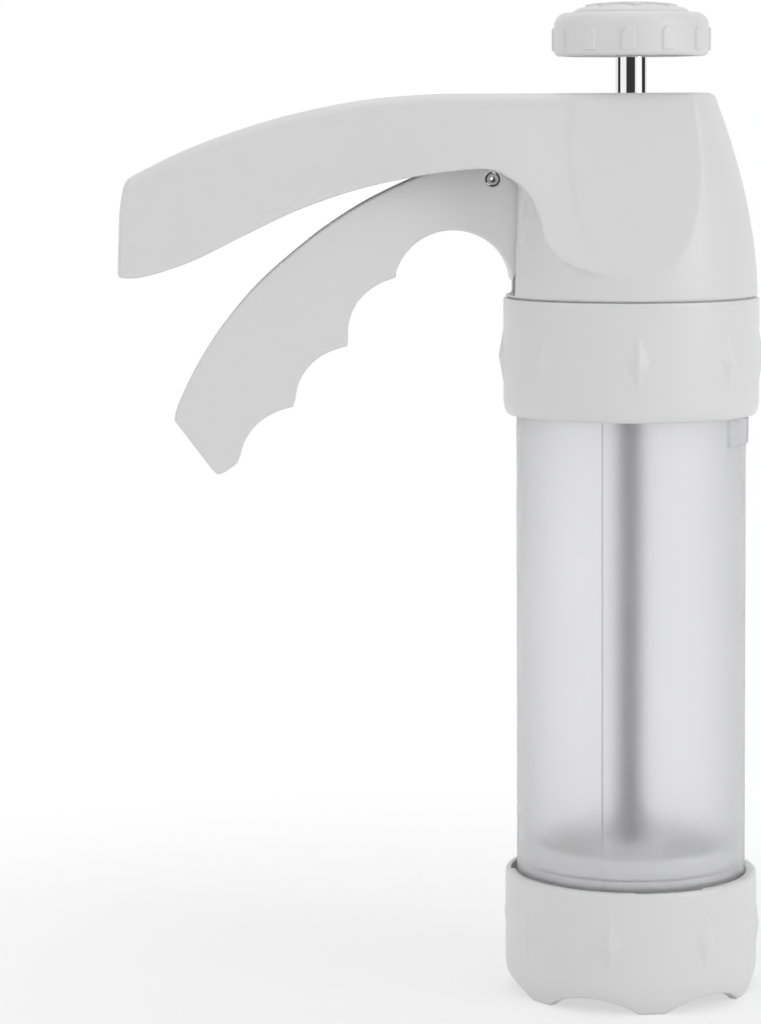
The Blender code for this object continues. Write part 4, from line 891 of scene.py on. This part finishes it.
@dataclass(frozen=True)
class LowerCollar:
    """The white ring under the barrel, with six feet and arches between them."""

    radius: float = 0.0303
    foot_radius: float = 0.0283
    curl: float = 0.0075
    high: float = 0.0291
    lip: float = 0.0030
    lip_bore: float = 0.0278
    chamber: float = 0.0289
    shelf: float = 0.0163
    pocket: float = 0.0273
    seat: float = 0.0145
    seat_bore: float = 0.0240
    ledge: float = 0.0025
    mouth_wall: float = 0.0021
    feet: int = 6
    arch_height: float = 0.0037
    arch_half: float = math.radians(23.5)
    foot_turn: float = math.radians(36.5)
    steps: int = 540
    diamonds: Diamonds = Diamonds(0.0170, 0.0009, math.radians(-13.5))

    def arch(self, turn: float) -> float:
        """Height of the lower edge at an angle, zero on a foot."""
        off = off_middle(turn - self.foot_turn - math.pi / 2, self.feet)
        half = self.foot_radius * math.sin(self.arch_half)
        radius = (half**2 + self.arch_height**2) / (2 * self.arch_height)
        across = self.foot_radius * math.sin(off)
        if abs(across) >= half:
            return 0.0
        return math.sqrt(radius**2 - across**2) - radius + self.arch_height

    def outer(self, z: float) -> float:
        """The outer radius at a height, curling in towards the feet."""
        share = min(1.0, z / self.curl)
        return self.foot_radius + (self.radius - self.foot_radius) * math.sin(share * math.pi / 2)

    def column(self, turn: float) -> list[Point]:
        """The profile at an angle."""
        bore = lip_radius(turn, self.lip_bore, self.chamber)
        low = self.arch(turn)
        ledge = self.seat - self.ledge
        slope = (self.foot_radius - self.mouth_wall - self.seat_bore) / ledge
        inner = self.seat_bore + slope * (ledge - low)
        points = [(bore, self.high - 0.0002), (bore, self.high - self.lip),
                  (self.chamber, self.high - self.lip), (self.chamber, self.shelf),
                  (self.pocket, self.shelf), (self.pocket, self.seat),
                  (self.seat_bore, self.seat), (self.seat_bore, ledge), (inner, low + 0.0002),
                  (inner + 0.0002, low)]
        outer = self.outer(low)
        points += [(outer - 0.0004, low), (outer - 0.0001, low + 0.0001)]
        rows = 50
        foot, top = low + 0.0004, self.high - 0.0008
        for i in range(rows + 1):
            z = foot + (top - foot) * i / rows
            points.append((self.outer(z) + self.diamonds.height(self.radius, turn, z), z))
        points += [(self.radius - 0.0001, self.high - 0.0004), (self.radius - 0.0004, self.high - 0.0001),
                   (self.radius - 0.0008, self.high), (bore + 0.0003, self.high)]
        return points

    def build(self) -> Piece:
        """Build and place the collar."""
        made = made_object("foot_collar", ring([self.column(turn) for turn in spread(self.steps)]))
        return settled(made, (WHITE,), Body.LOWER_COLLAR, "lower_collar", 40.0)


@dataclass(frozen=True)
class BarrelTube:
    """The frosted tube, with its lugs, its mould line and its raised lock mark."""

    radius: float = 0.0275
    bore: float = 0.0257
    low: float = 0.0166
    high: float = 0.1586
    lug_rows: tuple[Point, ...] = ((0.0230, 0.0258), (0.1428, 0.1456))
    lug_depth: float = 0.0011
    lug_half: float = math.radians(13)
    mark_low: float = 0.1327
    mark_high: float = 0.1389
    mark_turn: float = math.radians(-22)
    mark_half: float = math.radians(17)
    mark_proud: float = 0.0006
    tick_turn: float = math.radians(-12)
    tick_half: float = math.radians(4)
    tick_depth: float = 0.0005
    line_turn: float = math.radians(-108.8)
    line_depth: float = 0.00018
    steps: int = 540

    def outside(self, turn: float, z: float) -> float:
        """The outer radius at an angle and a height."""
        off = abs(off_middle(turn, LUG_COUNT))
        radius = self.radius
        if any(low <= z <= high for low, high in self.lug_rows):
            radius += self.lug_depth * (1 - ease(self.lug_half - 0.01, self.lug_half, off))
        across = off_middle(turn - self.mark_turn, 1)
        pad = 1 - ease(self.mark_half - 0.012, self.mark_half, abs(across))
        pad *= ease(self.mark_low - 0.0002, self.mark_low, z)
        pad *= 1 - ease(self.mark_high, self.mark_high + 0.0002, z)
        share = (z - self.mark_low) / (self.mark_high - self.mark_low)
        place = self.tick_turn - self.mark_turn + self.tick_half * (2 * share - 1)
        groove = 1 - ease(0.009, 0.018, abs(across - place))
        groove *= ease(0.08, 0.12, share) * (1 - ease(0.88, 0.92, share))
        radius += pad * (self.mark_proud - groove * self.tick_depth)
        seam = abs(off_middle(turn - self.line_turn, 1))
        return radius - self.line_depth * (1 - ease(0.004, 0.014, seam))

    def levels(self) -> list[float]:
        """The heights of the outer wall's rows, close together where there is relief."""
        rows = [self.low + 0.0003, self.high - 0.0003]
        for low, high in self.lug_rows:
            rows += [low - 0.00001, low, high, high + 0.00001]
        for i in range(19):
            rows.append(self.mark_low - 0.0003 + (self.mark_high - self.mark_low + 0.0006) * i / 18)
        rows += [0.030 + 0.012 * i for i in range(9)]
        return sorted(rows)

    def build(self) -> Piece:
        """Build and place the tube."""
        columns = []
        levels = self.levels()
        for turn in spread(self.steps):
            column = [(self.bore, self.high), (self.bore, self.low), (self.radius - 0.0003, self.low)]
            column += [(self.outside(turn, z), z) for z in levels]
            column.append((self.radius - 0.0003, self.high))
            columns.append(column)
        made = made_object("clear_barrel", ring(columns))
        return settled(made, (FROSTED,), Body.BARREL, "barrel", 40.0)


@dataclass(frozen=True)
class RatchetRod:
    """The bright rod: rings of saw teeth, a smooth face that frees the pawls, a threaded stub. Its lower,
    toothed part is coloured near black as painted shade.
    """

    radius: float = 0.00375
    stub_radius: float = 0.0025
    low: float = 0.0360
    high: float = 0.2281
    stub_low: float = 0.0282
    stub_high: float = 0.2345
    pitch: float = 0.00359
    depth: float = 0.0013
    teeth: int = 46
    first: float = 0.0443
    thread_pitch: float = 0.0007
    # Below this height the rod takes the near-black steel, which is painted shade.
    painted_shade_below: float = 0.2000

    def section(self, z: float, radius: float, milled: bool) -> list[Spot]:
        """A round section, cut flat away from the trigger where it is milled."""
        face = self.radius - self.depth if milled else self.radius
        return [(min(x, face), y, z) for x, y in circle(0.0, 0.0, radius, 64)]

    def build(self) -> Piece:
        """Build and place the rod."""
        root = self.radius - self.depth
        levels = [(self.stub_low, self.stub_radius, False), (self.low, self.stub_radius, False),
                  (self.low, self.radius - 0.0003, False), (self.low + 0.0003, self.radius, False),
                  (self.first - 0.0002, self.radius, False)]
        for i in range(self.teeth):
            z = self.first + self.pitch * i
            levels += [(z - 0.00015, self.radius - 0.00002, True), (z, self.radius - 0.00015, True),
                       (z + 0.00001, root + 0.00015, True), (z + 0.00015, root, True)]
        end = self.first + self.pitch * self.teeth
        levels += [(end - 0.00015, self.radius, True), (end, self.radius, False)]
        levels += [(self.high - 0.0003, self.radius, False), (self.high, self.radius - 0.0003, False)]
        turns = int((self.stub_high - self.high) / self.thread_pitch)
        for i in range(turns):
            z = self.high + self.thread_pitch * i
            levels += [(z + 0.00001, self.stub_radius - 0.0003, False),
                       (z + self.thread_pitch / 2, self.stub_radius, False)]
        levels.append((self.stub_high, self.stub_radius - 0.0003, False))
        made = made_object("toothed_rod", lofted([self.section(*level) for level in levels]))
        settled(made, (POLISHED_STEEL, TOOTHED_STEEL_PAINTED_SHADE), Body.ROD, "ratchet_rod", 30.0)
        for face in made.data.polygons:
            face.material_index = int(face.center.z < self.painted_shade_below)
        return made


@dataclass(frozen=True)
class HandKnob:
    """The hand knob with its twelve raised tabs."""

    radius: float = 0.0184
    low: float = 0.2249
    rim: float = 0.2352
    dish_radius: float = 0.0142
    shoulder: float = 0.0031
    web_low: float = 0.2282
    web_high: float = 0.2304
    wall: float = 0.0022
    hub: float = 0.0068
    hub_bore: float = 0.00405
    stub_hole: float = 0.0028
    foot_edge: float = 0.0012
    tabs: int = 12
    tab_turn: float = math.radians(-6)
    tab_half: float = 0.0016
    tab_low: float = 0.0014
    tab_high: float = 0.0068
    tab_proud: float = 0.00055
    steps: int = 600

    def tab(self, turn: float, z: float) -> float:
        """How far a tab stands out at an angle and a height above the knob's lower edge."""
        off = abs(off_middle(turn - self.tab_turn + math.pi / 2, self.tabs)) * self.radius
        crown = self.tab_high - self.tab_half
        reach = off if z < crown else math.hypot(off, z - crown)
        inside = 1 - ease(self.tab_half - 0.00025, self.tab_half, reach)
        return self.tab_proud * inside * ease(self.tab_low - 0.0002, self.tab_low, z)

    def column(self, turn: float) -> list[Point]:
        """The profile at an angle."""
        side, low, rim = self.radius, self.low, self.rim
        crest = self.dish_radius + 0.0012
        points = [(self.stub_hole, self.web_high), (self.dish_radius, self.web_high),
                  (self.dish_radius, rim - 0.0002), (self.dish_radius + 0.0002, rim), (crest, rim)]
        for i in range(1, 10):
            angle = math.pi / 2 * i / 9
            points.append((crest + (side - crest) * math.sin(angle),
                           rim - self.shoulder * (1 - math.cos(angle))))
        top, foot = rim - self.shoulder, low + self.foot_edge
        for i in range(1, 31):
            z = top + (foot - top) * i / 30
            points.append((side + self.tab(turn, z - low), z))
        for i in range(1, 6):
            angle = math.pi / 2 * i / 5
            points.append((side - self.foot_edge * (1 - math.cos(angle)),
                           foot - self.foot_edge * math.sin(angle)))
        inner = side - self.wall
        points += [(inner + 0.0002, low), (inner, low + 0.0002), (inner, self.web_low),
                   (self.hub, self.web_low), (self.hub, low + 0.0006), (self.hub - 0.0003, low + 0.0003),
                   (self.hub_bore, low + 0.0003), (self.hub_bore, self.web_low + 0.0001),
                   (self.stub_hole, self.web_low + 0.0001)]
        return points

    def build(self) -> Piece:
        """Build and place the knob."""
        made = made_object("hand_knob", ring([self.column(turn) for turn in spread(self.steps)]))
        return settled(made, (WHITE,), Body.ROD, "knob", 40.0)


@dataclass(frozen=True)
class KnobCap:
    """The low dome in the knob's dish, with a raised eight-pointed star."""

    radius: float = 0.0139
    low: float = 0.2307
    rim: float = 0.2352
    rise: float = 0.0022
    wall: float = 0.0016
    star_proud: float = 0.0004
    star_groove: float = 0.0006
    groove_width: float = 0.0005
    star_outer_share: float = 0.80
    star_inner_share: float = 0.56
    points_count: int = 8
    steps: int = 480
    rows: int = 56

    def star_edge(self, turn: float) -> float:
        """The star's radius at an angle, straight from each tip to the valleys beside it."""
        step = math.pi / self.points_count
        off = abs(off_middle(turn, self.points_count))
        tip, valley = self.radius * self.star_outer_share, self.radius * self.star_inner_share
        along, across = valley * math.cos(step) - tip, valley * math.sin(step)
        return tip * across / (across * math.cos(off) - along * math.sin(off))

    def crown(self, turn: float, r: float) -> float:
        """The dome's height at an angle and a radius."""
        share = min(1.0, r / self.radius)
        dome = self.rim + self.rise * math.sqrt(max(0.0, 1.0 - share**2.4))
        edge = self.star_edge(turn)
        wide = self.groove_width
        groove = ease(edge - 0.00022, edge, r) * (1 - ease(edge + wide, edge + 2 * wide, r))
        proud = self.star_proud * (1 - ease(edge - 0.00022, edge, r)) * ease(0.0, 0.4 * edge, r)
        return dome + proud - self.star_groove * groove

    def column(self, turn: float) -> list[Point]:
        """The profile at an angle, centre to rim and back inside."""
        edge = self.star_edge(turn)
        shares = sorted({i / self.rows for i in range(1, self.rows)}
                        | {(edge - 0.00024) / self.radius, (edge + 0.00002) / self.radius})
        outer = [(self.radius * share, self.crown(turn, self.radius * share)) for share in shares]
        centre = (GAP / 10, self.rim + self.rise)
        points = [centre, *outer, (self.radius - 0.00005, self.rim + 0.0002),
                  (self.radius, self.rim - 0.0004), (self.radius, self.low),
                  (self.radius - self.wall, self.low)]
        for i in range(10, 0, -1):
            share = i / 10
            points.append((share * (self.radius - self.wall),
                           self.rim - self.wall + self.rise * math.sqrt(max(0.0, 1 - share**2.4))))
        points.append((GAP / 10, self.rim + self.rise - self.wall))
        return points

    def build(self) -> Piece:
        """Build and place the cap."""
        columns = [self.column(turn) for turn in spread(self.steps)]
        made = made_object("star_cap", ring(columns))
        return settled(made, (WHITE,), Body.ROD, "knob_cap", 40.0)


@dataclass(frozen=True)
class InnerWorks:
    """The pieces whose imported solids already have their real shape."""

    white: tuple[str, ...] = ("piston", "cookie_disc")
    natural: tuple[str, ...] = ("end_plate", "upper_rod_bush", "lower_rod_bush")
    steel: tuple[str, ...] = ("drive_pawl", "drive_pawl_pin", "holding_pawl", "holding_pawl_pin",
                              "end_plate_screw_1", "end_plate_screw_2", "end_plate_screw_3",
                              "piston_screw", "piston_washer", "knob_nut")
    springs: tuple[str, ...] = ("drive_pawl_spring", "holding_pawl_spring", "trigger_return_spring")
    silicone: tuple[str, ...] = ("piston_seal",)

    def dress(self, nodes: dict[str, Piece]) -> None:
        """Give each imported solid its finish.

        Args:
            nodes: The frame's nodes by name.
        """
        finishes = ((self.white, INNER_WHITE_PAINTED_LIGHT), (self.natural, NATURAL), (self.steel, STEEL),
                    (self.springs, SPRING_STEEL), (self.silicone, SILICONE))
        for names, finish in finishes:
            for name in names:
                nodes[name].data.materials.clear()
                nodes[name].data.materials.append(finish.material())
                LOG.info("dressed %s", name)


@dataclass(frozen=True)
class Softbox:
    """One soft lamp, aimed at the press."""

    name: str
    place: Spot
    width: float
    height: float
    watts: float

    def build(self, target: Spot) -> None:
        """Hang the lamp and aim it at a place."""
        lamp = bpy.data.lights.new(self.name, "AREA")
        lamp.shape = "RECTANGLE"
        lamp.size = self.width
        lamp.size_y = self.height
        lamp.energy = self.watts
        made = bpy.data.objects.new(self.name, lamp)
        made.location = self.place
        made.rotation_euler = (Vector(target) - Vector(self.place)).to_track_quat("-Z", "Y").to_euler()
        bpy.context.collection.objects.link(made)


@dataclass(frozen=True)
class Studio:
    """Camera, floor, sky and lamps."""

    eye: Spot = (-0.0150, -0.8100, 0.2100)
    target: Spot = (-0.0144, 0.0, 0.1529)
    lens: float = 118.97
    shift: float = -0.15
    roll: float = -0.0044
    floor_colour: float = 0.92
    fade_start: float = 0.05
    fade_end: float = 0.26
    fade_least: float = 0.60
    lamp_target: Spot = (0.0, 0.0, 0.12)
    ambient: float = 0.62
    bands: tuple[Point, ...] = (
        (-180, 0.9), (-119, 0.9), (-116, 0.03), (-91, 0.03), (-88, 1.0), (-42, 1.0), (-39, 0.04),
        (23, 0.04), (26, 1.0), (79, 1.0), (82, 0.03), (118, 0.03), (121, 0.85), (180, 0.9),
    )
    boxes: tuple[Softbox, ...] = (
        Softbox("left_box", (-1.0, -0.6, 0.7), 0.5, 0.7, 1.6),
        Softbox("right_box", (1.1, -0.7, 0.5), 0.5, 0.9, 3.6),
        Softbox("top_box", (0.0, 0.2, 1.3), 0.9, 0.9, 2.0),
    )

    def camera(self) -> None:
        """Set the camera at the photograph's place."""
        data = bpy.data.cameras.new("studio_camera")
        data.lens = self.lens
        data.shift_y = self.shift
        data.clip_start = 0.01
        data.clip_end = 50.0
        made = bpy.data.objects.new("studio_camera", data)
        made.location = self.eye
        aim = (Vector(self.target) - Vector(self.eye)).to_track_quat("-Z", "Y")
        made.rotation_mode = "QUATERNION"
        made.rotation_quaternion = aim @ Matrix.Rotation(self.roll, 3, "Z").to_quaternion()
        bpy.context.collection.objects.link(made)
        bpy.context.scene.camera = made

    def floor(self) -> None:
        """Lay a pale floor that keeps the shadow and fades into white."""
        made = made_object("studio_floor", extruded(circle(0.0, 0.0, 6.0, 96), -0.002, 0.0, upright=True))
        nodes = NodeMaterial("studio_floor")
        nodes.fill(nodes.shader, {"Base Color": (self.floor_colour,) * 3 + (1.0,), "Roughness": 0.9,
                                  "Specular IOR Level": 0.1})
        rays = nodes.add("ShaderNodeLightPath", {}).outputs
        bounced = nodes.add("ShaderNodeMath", {0: rays["Is Glossy Ray"], 1: rays["Is Transmission Ray"]},
                            "MAXIMUM")
        seen = nodes.add("ShaderNodeMath", {0: rays["Is Camera Ray"], 1: bounced.outputs[0]}, "MAXIMUM")
        length = nodes.add("ShaderNodeVectorMath", {0: nodes.place}, "LENGTH")
        fade = nodes.add("ShaderNodeMapRange", {
            "Value": length.outputs["Value"], "From Min": self.fade_start, "From Max": self.fade_end,
            "To Min": self.fade_least})
        fade.interpolation_type = "SMOOTHSTEP"
        share = nodes.add("ShaderNodeMath", {0: fade.outputs["Result"], 1: seen.outputs[0]}, "MULTIPLY")
        glow = nodes.add("ShaderNodeEmission", {})
        mix = nodes.add("ShaderNodeMixShader", {
            "Fac": share.outputs[0], 1: nodes.shader.outputs[0], 2: glow.outputs[0]})
        nodes.fill(nodes.tree.nodes["Material Output"], {"Surface": mix.outputs[0]})
        made.data.materials.append(nodes.made)

    def sky(self) -> None:
        """White for what sees it directly, soft grey as light, with dark gaps between lamps for metal."""
        world = bpy.data.worlds.new("studio")
        bpy.context.scene.world = world
        world.use_nodes = True
        net = NodeNet(world.node_tree)
        pale = (1.0, 1.0, 1.0, 1.0)
        base = net.fill(net.tree.nodes["Background"], {"Color": pale, "Strength": self.ambient})
        white = net.add("ShaderNodeBackground", {"Color": pale})
        place = net.add("ShaderNodeTexCoord", {}).outputs["Generated"]
        split = net.add("ShaderNodeSeparateXYZ", {0: place}).outputs
        front = net.add("ShaderNodeMath", {0: split["Y"], 1: -1.0}, "MULTIPLY")
        turn = net.add("ShaderNodeMath", {0: split["X"], 1: front.outputs[0]}, "ARCTAN2")
        share = net.add("ShaderNodeMapRange", {
            "Value": turn.outputs[0], "From Min": -math.pi, "From Max": math.pi})
        ramp = net.add("ShaderNodeValToRGB", {"Fac": share.outputs["Result"]})
        stops = ramp.color_ramp.elements
        for stop, band in zip((stops[0], stops[1]), (self.bands[0], self.bands[-1])):
            stop.color = (band[1],) * 3 + (1.0,)
        for angle, level in self.bands[1:-1]:
            stops.new((angle + 180) / 360).color = (level,) * 3 + (1.0,)
        mirror = net.add("ShaderNodeBackground", {"Color": ramp.outputs["Color"]})
        rays = net.add("ShaderNodeLightPath", {}).outputs
        seen = net.add("ShaderNodeMath", {0: rays["Is Camera Ray"], 1: rays["Is Transmission Ray"]},
                       "MAXIMUM")
        lit = net.add("ShaderNodeMixShader", {
            "Fac": rays["Is Glossy Ray"], 1: base.outputs[0], 2: mirror.outputs[0]})
        whole = net.add("ShaderNodeMixShader", {
            "Fac": seen.outputs[0], 1: lit.outputs[0], 2: white.outputs[0]})
        net.fill(net.tree.nodes["World Output"], {"Surface": whole.outputs[0]})

    def build(self) -> None:
        """Set up the whole studio."""
        bpy.context.scene.view_settings.view_transform = "Standard"
        self.camera()
        self.floor()
        self.sky()
        for box in self.boxes:
            box.build(self.lamp_target)


def main() -> None:
    """Dress the frame, build every visible piece and log its face count, then set up the studio."""
    logging.basicConfig(level=logging.INFO, format="%(message)s")
    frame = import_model()
    InnerWorks().dress(frame["nodes"])
    forms = (HousingMoulding(), TriggerMoulding(), TriggerPin(), UpperCollar(), LowerCollar(), BarrelTube(),
             RatchetRod(), HandKnob(), KnobCap())
    for form in forms:
        made = form.build()
        LOG.info("built %s with %d faces", made.name, len(made.data.polygons))
    Studio().build()


if __name__ == "__main__":
    main()
